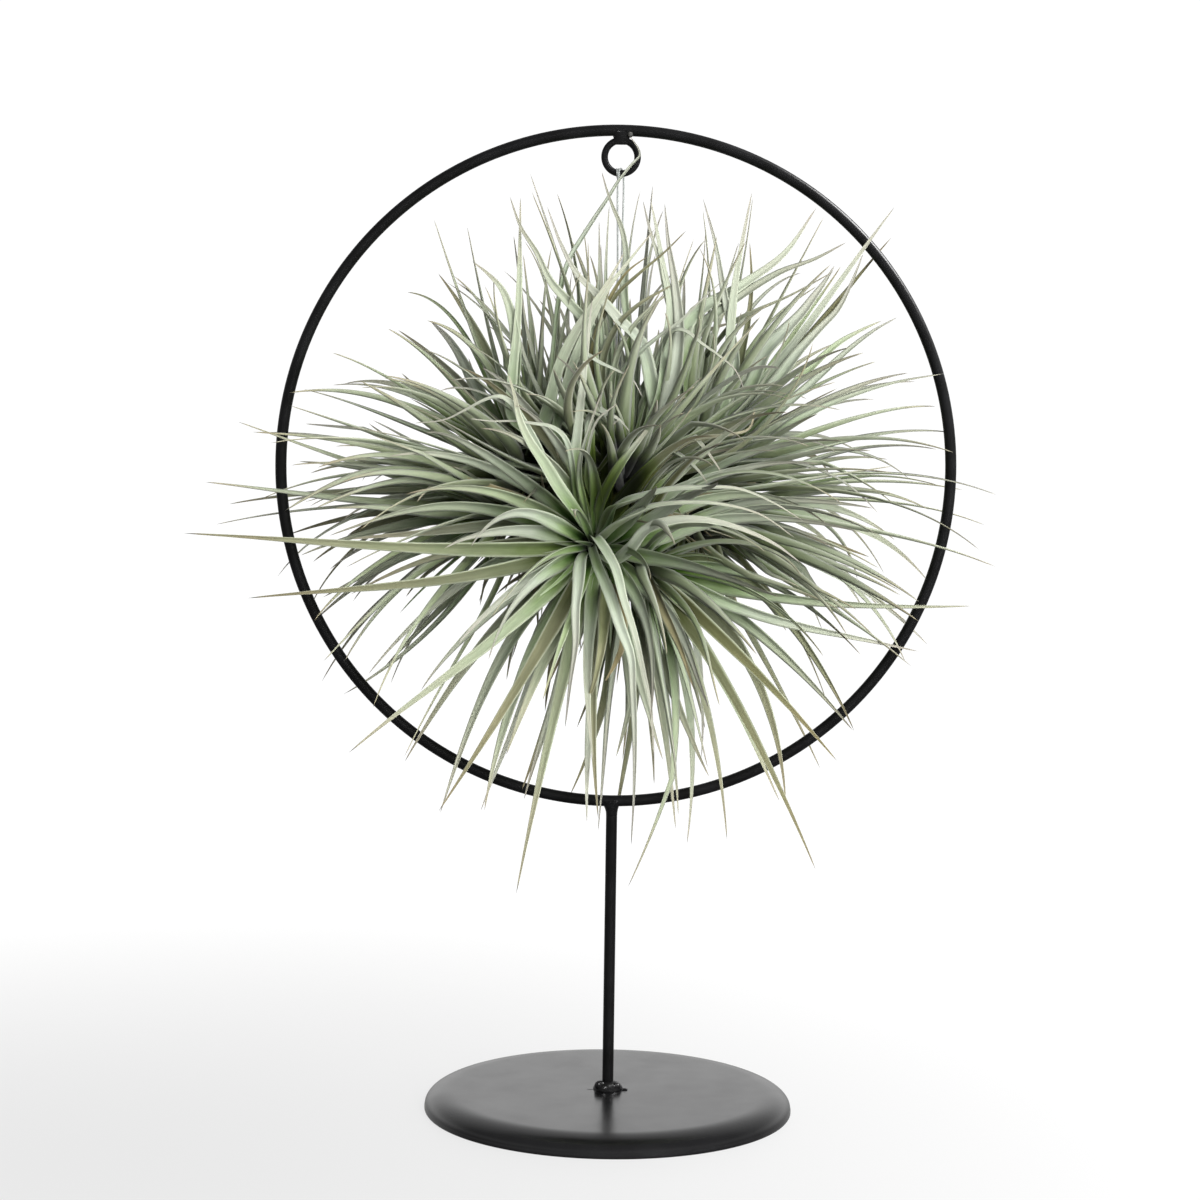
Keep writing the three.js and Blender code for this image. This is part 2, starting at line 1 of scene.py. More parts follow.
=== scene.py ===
"""Dresses a clump of silver air plant rosettes, hung on a clear line in a black ring stand.

Lengths are in millimetres until a mesh is made, and the rule for leaves works from the ring's centre.
The rule is the one that shaped the solids, so the leaves that it places follow their solids.
"""
import json
import logging
import math
from dataclasses import dataclass, field
from enum import Enum
from typing import Callable, ClassVar, Iterator, Sequence

import bpy
import numpy as np
from mathutils import Matrix, Vector

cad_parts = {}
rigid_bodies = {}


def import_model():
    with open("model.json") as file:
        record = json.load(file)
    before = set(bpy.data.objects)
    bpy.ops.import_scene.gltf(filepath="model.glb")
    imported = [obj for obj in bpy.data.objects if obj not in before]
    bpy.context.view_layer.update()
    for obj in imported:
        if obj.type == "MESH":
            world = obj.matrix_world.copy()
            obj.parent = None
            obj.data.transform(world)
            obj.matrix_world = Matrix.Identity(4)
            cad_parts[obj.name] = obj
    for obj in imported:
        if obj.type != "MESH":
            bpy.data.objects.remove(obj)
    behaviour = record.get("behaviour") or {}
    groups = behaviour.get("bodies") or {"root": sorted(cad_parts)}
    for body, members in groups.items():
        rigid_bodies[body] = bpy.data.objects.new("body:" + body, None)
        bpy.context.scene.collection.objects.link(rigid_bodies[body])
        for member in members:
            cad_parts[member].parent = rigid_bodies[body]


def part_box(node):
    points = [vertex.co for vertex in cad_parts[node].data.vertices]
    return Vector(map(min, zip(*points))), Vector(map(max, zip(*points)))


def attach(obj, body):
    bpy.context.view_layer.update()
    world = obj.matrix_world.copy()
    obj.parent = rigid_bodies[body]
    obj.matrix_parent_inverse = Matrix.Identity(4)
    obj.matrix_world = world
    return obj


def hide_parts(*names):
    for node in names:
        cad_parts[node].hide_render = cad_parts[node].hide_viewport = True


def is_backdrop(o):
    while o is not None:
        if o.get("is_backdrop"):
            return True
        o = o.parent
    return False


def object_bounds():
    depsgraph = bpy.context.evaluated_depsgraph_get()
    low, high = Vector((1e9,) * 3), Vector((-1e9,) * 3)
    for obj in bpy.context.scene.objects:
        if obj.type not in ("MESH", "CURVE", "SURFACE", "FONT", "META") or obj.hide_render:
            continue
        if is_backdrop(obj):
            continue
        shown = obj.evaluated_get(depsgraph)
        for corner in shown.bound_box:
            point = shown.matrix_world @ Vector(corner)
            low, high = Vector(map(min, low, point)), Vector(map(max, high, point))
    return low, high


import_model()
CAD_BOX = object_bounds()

LOG = logging.getLogger("sky_plant")
MM = 0.001
BODY = "root"

# Gap between solids that touch on the real object, the line and the branching stem
SEAT_GAP = 0.3
LINE_RADIUS = 0.4
STRAND_SPREAD = 1.1
KNOT_RADIUS = 1.4
KNOT_RISE = 9
RUNNER_DROP = -20.0
RUNNER_RADIUS = 3.6
RUNNER_ENDS = (-28.0, 24.0)
BRANCH_RADIUS = 3.0

# A rosette's core, as places along it and radii, and how its leaves grow, bend and keep their distance
CORE_LENGTH = 20.0
CORE_PROFILE = ((0, 3.8), (0.3, 9), (0.85, 9.6), (1, 5))
SEED = 11
GOLDEN_ANGLE = math.pi * (3 - math.sqrt(5))
GROWTH_STEPS = 36
LONG_LEAF = 118
RELAX = 38
GRAVITY = 1e-4
TRIES = 9
CLEARANCE = 0.45
OWN_CLEARANCE = 0.1
SKIN = 0.4
LEAST_KEEL = 0.6
NEIGHBOUR_REACH = 10
MOST_LINES = 20000
INNERMOST = math.radians(8)
FOOT_REACH = 3
LEAF_WIDTH = 5.8
WIDTH_SPREAD = 1.8

# A leaf's solid, and how the fine blade differs from it: narrower tip, fuller middle, sway and tail
TIP_WIDTH = 0.5
HAIR_WIDTH = 0.34
BLADE_FULLNESS = 1.16
SWAY = 3.2
TAIL_SWAY = 12.0
TAIL_DROP = 2.5
PLACED_LOOSENESS = 0.15
PLACED_FOOT = 0.16
YOUNG_SPAN = 0.45

# Painted shade where leaves crowd the stem and between the front and top rosettes: middle, reach each
# way, and what light is left
PAINTED_SHADE_PLACES = (
    ((0.0, 4.0, -16.0), (58.0, 50.0, 36.0), 0.35),
    ((-2.0, -52.0, -1.0), (23.0, 38.0, 25.0), 0.06),
)


def linear(hex_colour: str) -> tuple[float, float, float, float]:
    """Turns an sRGB hex colour to linear red, green, blue and alpha.

    Args:
        hex_colour: a colour such as "#8a9b7c".

    Returns:
        The four linear channels, with alpha 1.
    """
    channels = [int(hex_colour[i:i + 2], 16) / 255 for i in (1, 3, 5)]
    return (*[c / 12.92 if c <= 0.04045 else ((c + 0.055) / 1.055) ** 2.4 for c in channels], 1.0)


def unit(v: np.ndarray) -> np.ndarray:
    """A vector at length 1."""
    return v / math.sqrt(v @ v)


def cross(a: np.ndarray, b: np.ndarray) -> np.ndarray:
    """The cross product of two vectors."""
    return np.array((a[1] * b[2] - a[2] * b[1], a[2] * b[0] - a[0] * b[2], a[0] * b[1] - a[1] * b[0]))


def circle_angles(count: int) -> np.ndarray:
    """Angles of points spaced evenly round a circle."""
    return np.linspace(0, 2 * math.pi, count, endpoint=False)


def node_box(node: str) -> tuple[np.ndarray, np.ndarray]:
    """A node's lowest and highest corners in millimetres."""
    low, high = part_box(node)
    return np.round(np.array(low) / MM, 3), np.round(np.array(high) / MM, 3)


@dataclass(frozen=True)
class Circle:
    """A round bar bent to a circle in the XZ plane.

    Attributes:
        centre_z: height of the circle's centre.
        radius: radius of the bar's middle line.
        bar: radius of the bar.
    """

    centre_z: float
    radius: float
    bar: float

    @classmethod
    def of_node(cls, node: str) -> "Circle":
        """Reads the circle from a node's box."""
        low, high = node_box(node)
        return cls((low[2] + high[2]) / 2, high[0] - high[1], high[1])


RING = Circle.of_node("hoop_ring")
EYELET = Circle.of_node("hanging_eyelet")
EYELET_RISE = EYELET.centre_z - RING.centre_z
OVER_EYELET = EYELET.bar + LINE_RADIUS + SEAT_GAP
ROUND_RUNNER = RUNNER_RADIUS + LINE_RADIUS + SEAT_GAP
KNOT = np.array((-0.5, -ROUND_RUNNER - LINE_RADIUS, RUNNER_DROP + KNOT_RISE))


class LeafKind(Enum):
    """How a leaf came to be where it is."""

    GROWN = "grown by the rule"
    YOUNG = "young, at the eye of a rosette"
    STRAY = "short and crossing its neighbours"
    OLD = "old, at the foot of a rosette"
    PLACED = "placed by hand"


@dataclass
class Leaf:
    """A leaf's middle line and form.

    Attributes:
        points: the middle line, from the ring's centre, foot first.
        sides: the width direction at each point.
        width: greatest width.
        twist: turn of the blade about its middle line over its length, in radians.
        kind: how it came to be there.
        tone: how green it is, from 0, silver, to 1.
        warm: how far it has turned olive-brown with age, from 0 to 1.
        dry: how dried it is, from 0 to 1.
        stride: every which point of its middle line the blade is made from.
    """

    points: np.ndarray
    sides: np.ndarray
    width: float
    twist: float
    kind: LeafKind = LeafKind.GROWN
    tone: float = 0.5
    warm: float = 0.0
    dry: float = 0.0
    stride: int = 1


@dataclass(frozen=True)
class RosettePlan:
    """Where a rosette sits and how its leaves grow, as in the source of the solids."""

    name: str
    seat: tuple[float, float, float]
    axis: tuple[float, float, float]
    foot: float
    leaves: int
    longest: float
    shortest: float
    spread: float
    push: float = 0.9
    crop: float = 0.0
    lowest: float = -0.3
    mess: float = 1.0
    droop: float = 0.0

    @property
    def node(self) -> str:
        """The name of the rosette's solid."""
        return f"head_{self.name}"

    @property
    def eye(self) -> np.ndarray:
        """The point that the leaves stand round."""
        return np.array(self.seat, float)

    @property
    def way(self) -> np.ndarray:
        """The direction that the rosette looks in."""
        return unit(np.array(self.axis, float))

    @property
    def base(self) -> np.ndarray:
        """The foot of the core."""
        return self.eye - self.way * CORE_LENGTH

    @property
    def square(self) -> tuple[np.ndarray, np.ndarray]:
        """Two directions square to its own and to each other."""
        lean = (0.13, 0.31, 0.94) if abs(self.way[2]) < 0.9 else (0.9, 0.4, 0.1)
        first = unit(cross(self.way, np.array(lean)))
        return first, cross(self.way, first)

    def stance(self, turn: float, opening: float) -> tuple[np.ndarray, np.ndarray, np.ndarray]:
        """Works out how a leaf stands to the axis.

        Args:
            turn: its turn round the axis, in radians.
            opening: its lean away from the axis, in radians.

        Returns:
            The direction away from the axis, the leaf's width direction and the leaf's own direction.
        """
        first, second = self.square
        radial = first * math.cos(turn) + second * math.sin(turn)
        side = second * math.cos(turn) - first * math.sin(turn)
        return radial, side, self.way * math.cos(opening) + radial * math.sin(opening)


PLANS = (
    RosettePlan("front", (-10, -54, -32), (0, -1, -0.12), -9, 48, 124, 84, 100, push=1.2, crop=0.2,
                lowest=-2, droop=0.45),
    RosettePlan("front_right", (14, -44, -42), (0.62, -0.66, -0.4), 8, 30, 132, 92, 76, crop=0.2,
                lowest=-2, droop=0.8),
    RosettePlan("top", (2, -26, 4), (0, -0.12, 1), 8, 52, 126, 84, 74, push=0.8, lowest=-0.1,
                mess=1.9, droop=0.15),
    RosettePlan("upper_right", (38, 4, 4), (0.58, -0.05, 0.8), 20, 48, 142, 104, 66, push=0.8,
                lowest=-0.2, droop=0.3),
    RosettePlan("right", (48, 0, -22), (1, -0.14, 0.16), 24, 50, 140, 92, 70, droop=0.4),
    RosettePlan("upper_left", (-46, 2, 6), (-0.56, -0.08, 0.8), -24, 46, 138, 92, 68, push=0.8,
                lowest=-0.2, droop=0.3),
    RosettePlan("left", (-52, -8, -20), (-1, -0.2, 0.04), -24, 58, 152, 96, 70, droop=0.35),
    RosettePlan("back", (-4, 46, -10), (0, 1, 0.3), -9, 50, 128, 70, 84, push=1, lowest=-0.25,
                droop=0.25),
    RosettePlan("back_right", (34, 38, -26), (0.6, 0.76, 0), 16, 40, 124, 70, 70, droop=0.25),
    RosettePlan("back_left", (-38, 36, -24), (-0.6, 0.76, 0), -18, 40, 124, 70, 70, droop=0.25),
)

# Leaves that give the clump its outline: rosette, arch, and for each its tip from the ring's centre
# and its width
DRAWN_LEAVES = (
    ("front", 0.5, ((-178, -78, -18, 7), (-160, -86, -30, 6.6), (-154, -70, -52, 6.6), (-112, -84, -112, 7.2),
     (-70, -82, -140, 7.2), (-54, -78, -168, 6.8), (-20, -84, -140, 7))),
    ("front_right", 0.6, ((14, -70, -178, 7.2), (50, -66, -150, 6.8), (66, -60, -156, 6.8),
     (86, -64, -162, 6.8), (94, -56, -118, 6.6), (110, -52, -100, 6.6), (128, -50, -78, 6.6),
     (150, -46, -58, 6.8))),
    ("top", 0.3, ((14, -34, 124, 7), (-42, -30, 128, 7), (-36, -44, 122, 6.6), (30, -40, 102, 6.6))),
    ("upper_right", 0.3, ((40, -6, 116, 6.8), (60, 4, 122, 6.8), (88, -4, 114, 6.6), (120, 6, 106, 6.6))),
    ("upper_left", 0.3, ((-82, -4, 110, 6.8), (-64, 6, 108, 6.8))),
    ("left", 0.4, ((-176, -40, -8, 6.8), (-160, -44, 22, 6.8))),
)


@dataclass(frozen=True)
class PlacedLeaf:
    """A leaf placed through given points.

    Attributes:
        name: what marks it.
        points: the points that it runs through, from the ring's centre, foot first.
        width: greatest width.
        tone: how green it is.
        warm: how olive-brown it is.
        dry: how dried it is.
        twist: turn of the blade over its length, in radians.
        face: the direction that its upper face looks in.
    """

    name: str
    points: tuple[tuple[float, float, float], ...]
    width: float
    tone: float = 0.0
    warm: float = 0.0
    dry: float = 0.0
    twist: float = 0.0
    face: tuple[float, float, float] = (-0.2, -0.75, 0.6)

    def leaf(self) -> Leaf:
        """Makes the leaf from its points."""
        points = smooth_route(self.points, 5)
        sides = np.cross(np.array(self.face), np.gradient(points, axis=0))
        return Leaf(points, sides, self.width, self.twist, LeafKind.PLACED, self.tone, self.warm, self.dry)


PLACED_LEAVES = {
    "front": (
        PlacedLeaf("long_pale_below_eye", ((-12, -50, -29), (-9, -78, -38), (-4, -93, -49), (0, -101, -61),
            (4, -104, -72), (5, -104, -86), (6, -101, -107), (6, -96, -128), (5, -90, -152)), 5.2),
        PlacedLeaf("pale_over_it", ((-11, -50, -28), (-10, -72, -26), (-6, -84, -31), (-2, -92, -38),
            (1, -98, -49), (6, -101, -64), (10, -99, -80), (13, -96, -93), (15, -90, -116)), 4.8, tone=0.15,
            face=(0.1, -0.8, 0.6)),
        PlacedLeaf("under_and_across", ((-10, -50, -33), (-3, -70, -36), (4, -82, -30), (10, -90, -22),
            (19, -95, -18), (32, -98, -17), (47, -97, -20), (63, -92, -27), (74, -88, -35)), 5.2, warm=0.15,
            face=(0.2, -0.9, 0.3)),
        PlacedLeaf("broad_upright_left", ((-10, -50, -29), (-19, -68, -15), (-26, -76, -5), (-32, -81, 5),
            (-38, -84, 14), (-42, -85, 23), (-44, -84, 32), (-47, -81, 42)), 6.0, tone=0.5,
            face=(0.1, -0.9, 0.3)),
        PlacedLeaf("narrow_upright", ((-11, -50, -28), (-15, -68, -12), (-17, -76, -2), (-17, -82, 6),
            (-15, -86, 15), (-12, -88, 25), (-9, -88, 34)), 3.2, tone=0.2),
        PlacedLeaf("narrow_beside_it", ((-10, -50, -28), (-11, -66, -11), (-14, -74, -1), (-14, -80, 7),
            (-13, -84, 15), (-10, -86, 23), (-2, -86, 30)), 3.2, tone=0.1),
        PlacedLeaf("upright_right", ((-10, -50, -28), (-8, -68, -12), (-4, -77, -2), (0, -82, 5),
            (5, -86, 12), (10, -88, 19), (14, -88, 28)), 5.4, tone=0.4, face=(-0.3, -0.9, 0.2)),
        PlacedLeaf("right_arch_high", ((-9, -50, -29), (-5, -70, -15), (0, -82, -11), (8, -90, -8),
            (19, -96, -5), (31, -99, -4), (46, -99, -4), (60, -95, -9), (74, -90, -17)), 4.8, tone=0.2,
            face=(-0.1, -0.6, 0.8)),
        PlacedLeaf("right_arch_middle", ((-9, -50, -30), (-7, -66, -26), (-2, -78, -20), (4, -86, -16),
            (12, -92, -12), (24, -97, -10), (38, -98, -10), (56, -94, -14), (72, -88, -24)), 4.8, tone=0.3,
            face=(0.1, -0.6, 0.8)),
        PlacedLeaf("straight_down", ((-12, -50, -32), (-16, -72, -36), (-17, -84, -45), (-18, -90, -55),
            (-18, -92, -68), (-20, -90, -84), (-22, -85, -104)), 5.6),
        PlacedLeaf("folded_over", ((-12, -48, -28), (-21, -60, -13), (-30, -70, 2), (-36, -76, 14),
            (-42, -80, 24), (-45, -82, 29), (-50, -83, 32), (-56, -84, 31), (-64, -85, 27), (-73, -86, 23),
            (-85, -86, 22)), 3.8, tone=0.15, face=(-0.3, -0.7, 0.6)),
        PlacedLeaf("folded_flat", ((-11, -48, -28), (-18, -62, -11), (-20, -72, 2), (-22, -77, 12),
            (-25, -79, 17), (-30, -80, 20), (-36, -81, 21), (-44, -82, 22), (-54, -83, 22), (-63, -83, 23)),
            2.8, tone=0.1),
        PlacedLeaf("yellow_olive", ((-5, -46, -42), (-5.4, -72, -50.5), (-6.4, -86, -60.5), (-7.6, -91, -71),
            (-11, -90, -87), (-17, -82, -104)), 6.4, tone=1.0, warm=0.5, dry=0.1),
        PlacedLeaf("brown_curled", ((-2, -44, -42), (-1, -68, -50), (1, -84, -60), (1, -90, -69),
            (-2, -90, -77), (-6, -84, -85)), 5.6, warm=1.0, dry=0.25, twist=1.2),
        PlacedLeaf("small_finger", ((-11, -50, -29), (-14.9, -66, -21.8), (-16.6, -71, -18.7),
            (-18.4, -74, -15.7), (-20.5, -74, -13.6)), 2.6, tone=0.2),
        PlacedLeaf("brown_tipped", ((10, -50, -38), (18, -78, -55), (25, -88, -70), (31, -90, -87)), 5.6,
            warm=0.9, dry=0.15, face=(-0.5, -0.7, 0.1)),
    ),
    "top": (
        PlacedLeaf("through_eyelet_view", ((-12, -30, 8), (-28, -40, 32), (-28, -36, 58), (-25, -32, 81),
            (-21.5, -30, 91.4), (-16.9, -27, 99.3), (-11, -22, 109), (-5.8, -17, 117.1), (-1.6, -12, 124.4),
            (1.1, -9, 128.2), (4.6, -7, 132.6), (7.9, -6, 136.6), (7.3, -5.5, 139.7), (5.6, -5, 142.4),
            (3.8, -5, 144.7)), 2.5, face=(-0.5, -0.8, 0.1)),
        PlacedLeaf("before_the_line", ((4, -30, 8), (3, -44, 58), (0.8, -46, 78.9), (1.6, -45, 88.6),
            (1.1, -43, 95.8), (-0.6, -41, 103.8), (-3.6, -38, 111.5), (-6.2, -34, 119.3), (-8.4, -30, 127.6)),
            3.6, warm=0.25, face=(-0.2, -0.9, 0.1)),
        PlacedLeaf("thin_upright", ((-4, -30, 8), (-8.3, -52, 59.8), (-9.7, -52, 72.3), (-9.4, -48, 82.9),
            (-9.4, -44, 93.5), (-9.5, -38, 106.4)), 2.2, warm=0.2),
        PlacedLeaf("thin_beside_it", ((-3, -30, 8), (-4, -50, 59.9), (-6.7, -50, 72.4), (-7.2, -46, 85.1),
            (-6.9, -42, 97.8), (-6.6, -36, 113.3)), 2.2, tone=0.2),
        PlacedLeaf("tall_left_of_silver", ((8, -30, 8), (23.7, -52, 56.1), (19.2, -53, 72.7),
            (15.7, -50, 88.6), (11.4, -46, 102.1), (8.1, -40, 114.9)), 3.4, warm=0.1),
        PlacedLeaf("tan_hook", ((9, -36, -4), (29, -58, 14), (44, -66, 17), (53, -66, 20), (55, -64, 29)),
            2.4, warm=0.4, dry=0.2),
        PlacedLeaf("cross_up_right", ((-6, -30, 8), (-32, -40, 14), (-30, -48, 29), (-26, -54, 45),
            (-19, -57, 60), (-12, -58, 71), (-6, -57, 81), (0, -54, 93)), 6.2, tone=0.35,
            face=(0.3, -0.9, 0.2)),
        PlacedLeaf("cross_beside_it", ((-5, -30, 8), (-26, -40, 14), (-24, -48, 32), (-19, -54, 50),
            (-13, -56, 64), (-7, -56, 76), (2, -53, 88), (14, -48, 103)), 5.2, tone=0.3,
            face=(0.4, -0.8, 0.3)),
        PlacedLeaf("down_to_the_right", ((1, -30, 8), (-2, -40, 37), (-6, -46, 51), (-13, -50, 61),
            (-22, -52, 71), (-30, -52, 80), (-36, -50, 92), (-43, -46, 103), (-48, -42, 116)), 5.8, tone=0.3,
            face=(-0.3, -0.9, 0.3)),
        PlacedLeaf("silver_over_the_middle", ((5, -30, 8), (15, -42, 22), (13, -50, 38), (8, -55, 55),
            (-1, -56, 64), (-10, -55, 74), (-19, -52, 83), (-26, -47, 96), (-32, -42, 112)), 6.4,
            face=(-0.2, -0.8, 0.6)),
        PlacedLeaf("dark_brown_tip", ((-2, -30, 8), (-12, -46, 47), (-9, -52, 63), (-4, -54, 75),
            (2, -53, 84), (11, -50, 91)), 3.4, warm=1.0, dry=0.08),
        PlacedLeaf("olive_slant_high", ((-2, -30, 8), (-12, -44, 43), (-9, -50, 62), (-3, -53, 74),
            (7, -53, 84), (17, -50, 93), (26, -46, 103)), 3.2, warm=0.9),
        PlacedLeaf("olive_slant_low", ((0, -30, 8), (-8, -48, 42), (-3, -55, 60), (6, -57, 70), (15, -55, 76),
            (26, -50, 82)), 3.8, warm=0.8, face=(0, -0.7, 0.7)),
        PlacedLeaf("slant_under_it", ((0, -30, 8), (-4, -48, 34), (-1, -54, 51), (6, -56, 63), (16, -54, 73),
            (26, -49, 80)), 3.6, tone=0.3, warm=0.3),
        PlacedLeaf("tall_silver", ((6, -30, 8), (19, -44, 14), (20, -50, 29), (23, -54, 46), (24, -55, 62),
            (22, -53, 79), (19, -49, 96), (17, -44, 114)), 8.0, face=(-0.3, -0.9, 0.2)),
        PlacedLeaf("tall_beside_it", ((6, -30, 8), (17, -50, 34), (19, -54, 55), (20, -54, 71), (17, -51, 86),
            (14, -47, 102), (11, -43, 116)), 5.4, tone=0.2, face=(0.3, -0.9, 0.2)),
        PlacedLeaf("kinked_out_right", ((5, -30, 8), (14, -50, 43), (18, -56, 55), (21, -59, 60),
            (26, -61, 60), (33, -62, 55), (42, -61, 49), (48, -59, 44), (52, -56, 36)), 2.8, warm=0.15,
            face=(0, -0.6, 0.8)),
        PlacedLeaf("thin_slant_right", ((2, -30, 8), (0, -54, 41), (8, -60, 51), (16, -62, 58), (24, -62, 64),
            (33, -60, 73), (43, -56, 82)), 2.8, tone=0.1),
        PlacedLeaf("upright_at_left", ((-10, -30, 8), (-45, -38, 21), (-46, -43, 38), (-44, -46, 59),
            (-43, -46, 80), (-43, -43, 97), (-43, -38, 116)), 5.0, tone=0.4, face=(0.2, -0.9, 0.1)),
        PlacedLeaf("out_to_upper_left", ((-9, -30, 8), (-43, -38, 26), (-44, -44, 50), (-46, -46, 65),
            (-50, -45, 76), (-56, -42, 83), (-63, -38, 89)), 5.6, tone=0.35),
        PlacedLeaf("upright_in_front", ((-11, -50, -24), (-19, -66, 2), (-18, -70, 18), (-16, -71, 37),
            (-14, -68, 54), (-12, -62, 73)), 5.0, tone=0.1, face=(0.1, -0.9, 0.3)),
        PlacedLeaf("thin_bow", ((-3, -30, 8), (-17, -52, 35), (-15, -60, 49), (-9, -63, 46), (-2, -64, 43),
            (4, -63, 40), (9, -60, 32)), 2.8, face=(0, -0.6, 0.8)),
        PlacedLeaf("folded_stub", ((-9, -50, -24), (-13, -64, 18), (-11, -70, 27), (-6, -74, 25),
            (-1, -75, 23), (4, -73, 18)), 4.8, face=(0, -0.6, 0.8)),
    ),
    "upper_right": (
        PlacedLeaf("tall_right", ((37, -2, 8), (45, -18, 27), (47, -22, 48), (48, -24, 69), (50, -23, 86),
            (53, -20, 102), (57, -16, 121)), 5.6, tone=0.2, face=(0.2, -0.9, 0.1)),
        PlacedLeaf("tall_crossing_it", ((38, -2, 8), (50, -18, 43), (48, -22, 61), (44, -24, 80),
            (41, -22, 98), (36, -18, 118)), 4.8, face=(-0.3, -0.9, 0.1)),
        PlacedLeaf("dark_upright", ((38, -2, 8), (51, -10, 26), (53, -14, 48), (56, -16, 66), (57, -16, 81),
            (56, -13, 100)), 4.4, tone=0.6, warm=0.8),
        PlacedLeaf("over_the_ring", ((40, -2, 8), (63.2, -18, 40.8), (77.9, -20, 59.5), (94, -18, 81.7),
            (107.1, -14, 100.5), (118.3, -9, 116.5)), 4.0, warm=0.2, face=(0.3, -0.9, 0.2)),
        PlacedLeaf("broad_out_right", ((30, -8, 12), (29.2, -24, 63.9), (50, -20, 78.9), (70.5, -14, 94.5),
            (85, -9, 115.7)), 6.4, tone=0.2, face=(0.3, -0.8, 0.5)),
        PlacedLeaf("broad_beside_it", ((32, -8, 12), (30.1, -24, 56), (46.1, -22, 71.5), (68.8, -16, 86.6),
            (84.4, -12, 93.1), (98, -9, 101)), 5.8, warm=0.3, face=(0.2, -0.6, 0.8)),
        PlacedLeaf("pale_broad", ((40, -4, 10), (57.4, -20, 38.3), (62.3, -24, 51.7), (70.3, -26, 60.6),
            (77.7, -25, 68.6), (83.7, -22, 76.7), (88.9, -18, 84.2), (92.4, -15, 90.4)), 7.6,
            face=(-0.3, -0.9, 0.3)),
        PlacedLeaf("pale_beside_it", ((42, -4, 6), (60, -20, 29.5), (69.4, -24, 41.9), (77.5, -25, 52.9),
            (86.3, -24, 62.8), (93.9, -21, 70.9), (100.5, -17, 83.4), (105.6, -13, 95.4)), 5.4, warm=0.1,
            face=(-0.3, -0.9, 0.3)),
        PlacedLeaf("thin_flat", ((38, -8, 50), (49.5, -22, 64.6), (57.8, -26, 69.3), (72.5, -26, 76.3),
            (92.6, -20, 87.6)), 2.6, warm=0.6),
        PlacedLeaf("green_edged", ((46, -6, 2), (69.6, -24, 31.1), (81.3, -28, 44.6), (93.5, -27, 56),
            (104.3, -23, 62.4), (113.3, -19, 66.9)), 4.4, tone=0.7, face=(0.2, -0.8, 0.6)),
        PlacedLeaf("out_right_high", ((44, -4, 0), (67.4, -26, 24.9), (84.5, -24, 40.2), (99.8, -20, 54.2),
            (110.5, -15, 62.6), (120.5, -10, 68.9)), 4.6, tone=0.1, face=(-0.2, -0.7, 0.6)),
        PlacedLeaf("out_right_low", ((46, -4, -4), (69.2, -32, 18.6), (86.4, -30, 28.2), (103.9, -25, 35.3),
            (121.6, -20, 40.7), (141.4, -14, 44.9)), 4.8, tone=0.3, face=(0, -0.6, 0.8)),
    ),
}


class SeededRow:
    """A row of numbers that its seed fixes, the same in every run."""

    MASK: ClassVar[int] = 0xFFFFFFFF

    def __init__(self, seed: int) -> None:
        """Starts the row at its seed."""
        self.state = seed & self.MASK

    def __call__(self) -> float:
        """The next number, from 0 to 1."""
        self.state = (self.state + 0x6D2B79F5) & self.MASK
        t = ((self.state ^ (self.state >> 15)) * (1 | self.state)) & self.MASK
        t = ((t + (((t ^ (t >> 7)) * (61 | t)) & self.MASK)) & self.MASK) ^ t
        return (t ^ (t >> 14)) / (self.MASK + 1)

    def within(self, span: float) -> float:
        """The next number, spread evenly over a span about 0."""
        return (self() - 0.5) * span


def quadratic(a: np.ndarray, b: np.ndarray, c: np.ndarray, steps: int) -> np.ndarray:
    """Points on a quadratic curve from a to c with its middle control point at b."""
    s = np.linspace(0, 1, steps + 1)[:, None]
    return a * (1 - s) ** 2 + b * 2 * s * (1 - s) + c * s * s


def branch_points(plan: RosettePlan, steps: int) -> np.ndarray:
    """The middle line of a rosette's branch, from the runner to just short of its core.

    Args:
        plan: the rosette.
        steps: steps along it.

    Returns:
        The points, from the ring's centre.
    """
    root = np.array((plan.foot, 0.0, RUNNER_DROP))
    end = plan.base - plan.way * SEAT_GAP
    knee = end - plan.way * (math.dist(root, end) * 0.4)
    return quadratic(root, knee, end, steps)


def solid_width(share: np.ndarray, width: float) -> np.ndarray:
    """The width of a leaf's solid at shares of its length, which its neighbours keep clear of."""
    taper = (1 - share) ** 0.9 * (0.4 + 0.6 * np.minimum(1, share / 0.25))
    return TIP_WIDTH + (width - TIP_WIDTH) * taper


def frames_along(points: np.ndarray, sides: np.ndarray, twist: float) -> tuple[np.ndarray, np.ndarray]:
    """Works out a blade's width and keel directions.

    Args:
        points: the middle line.
        sides: the width direction before the twist.
        twist: turn over the whole length, in radians.

    Returns:
        The width direction and the keel direction at each point.
    """
    ahead = np.vstack((points[1:], points[-1:])) - np.vstack((points[:1], points[:-1]))
    ahead /= np.linalg.norm(ahead, axis=1)[:, None]
    flat = sides - ahead * (sides * ahead).sum(1)[:, None]
    flat /= np.linalg.norm(flat, axis=1)[:, None]
    under = np.cross(flat, ahead)
    turn = (twist * np.linspace(0, 1, len(points)))[:, None]
    return flat * np.cos(turn) + under * np.sin(turn), under * np.cos(turn) - flat * np.sin(turn)


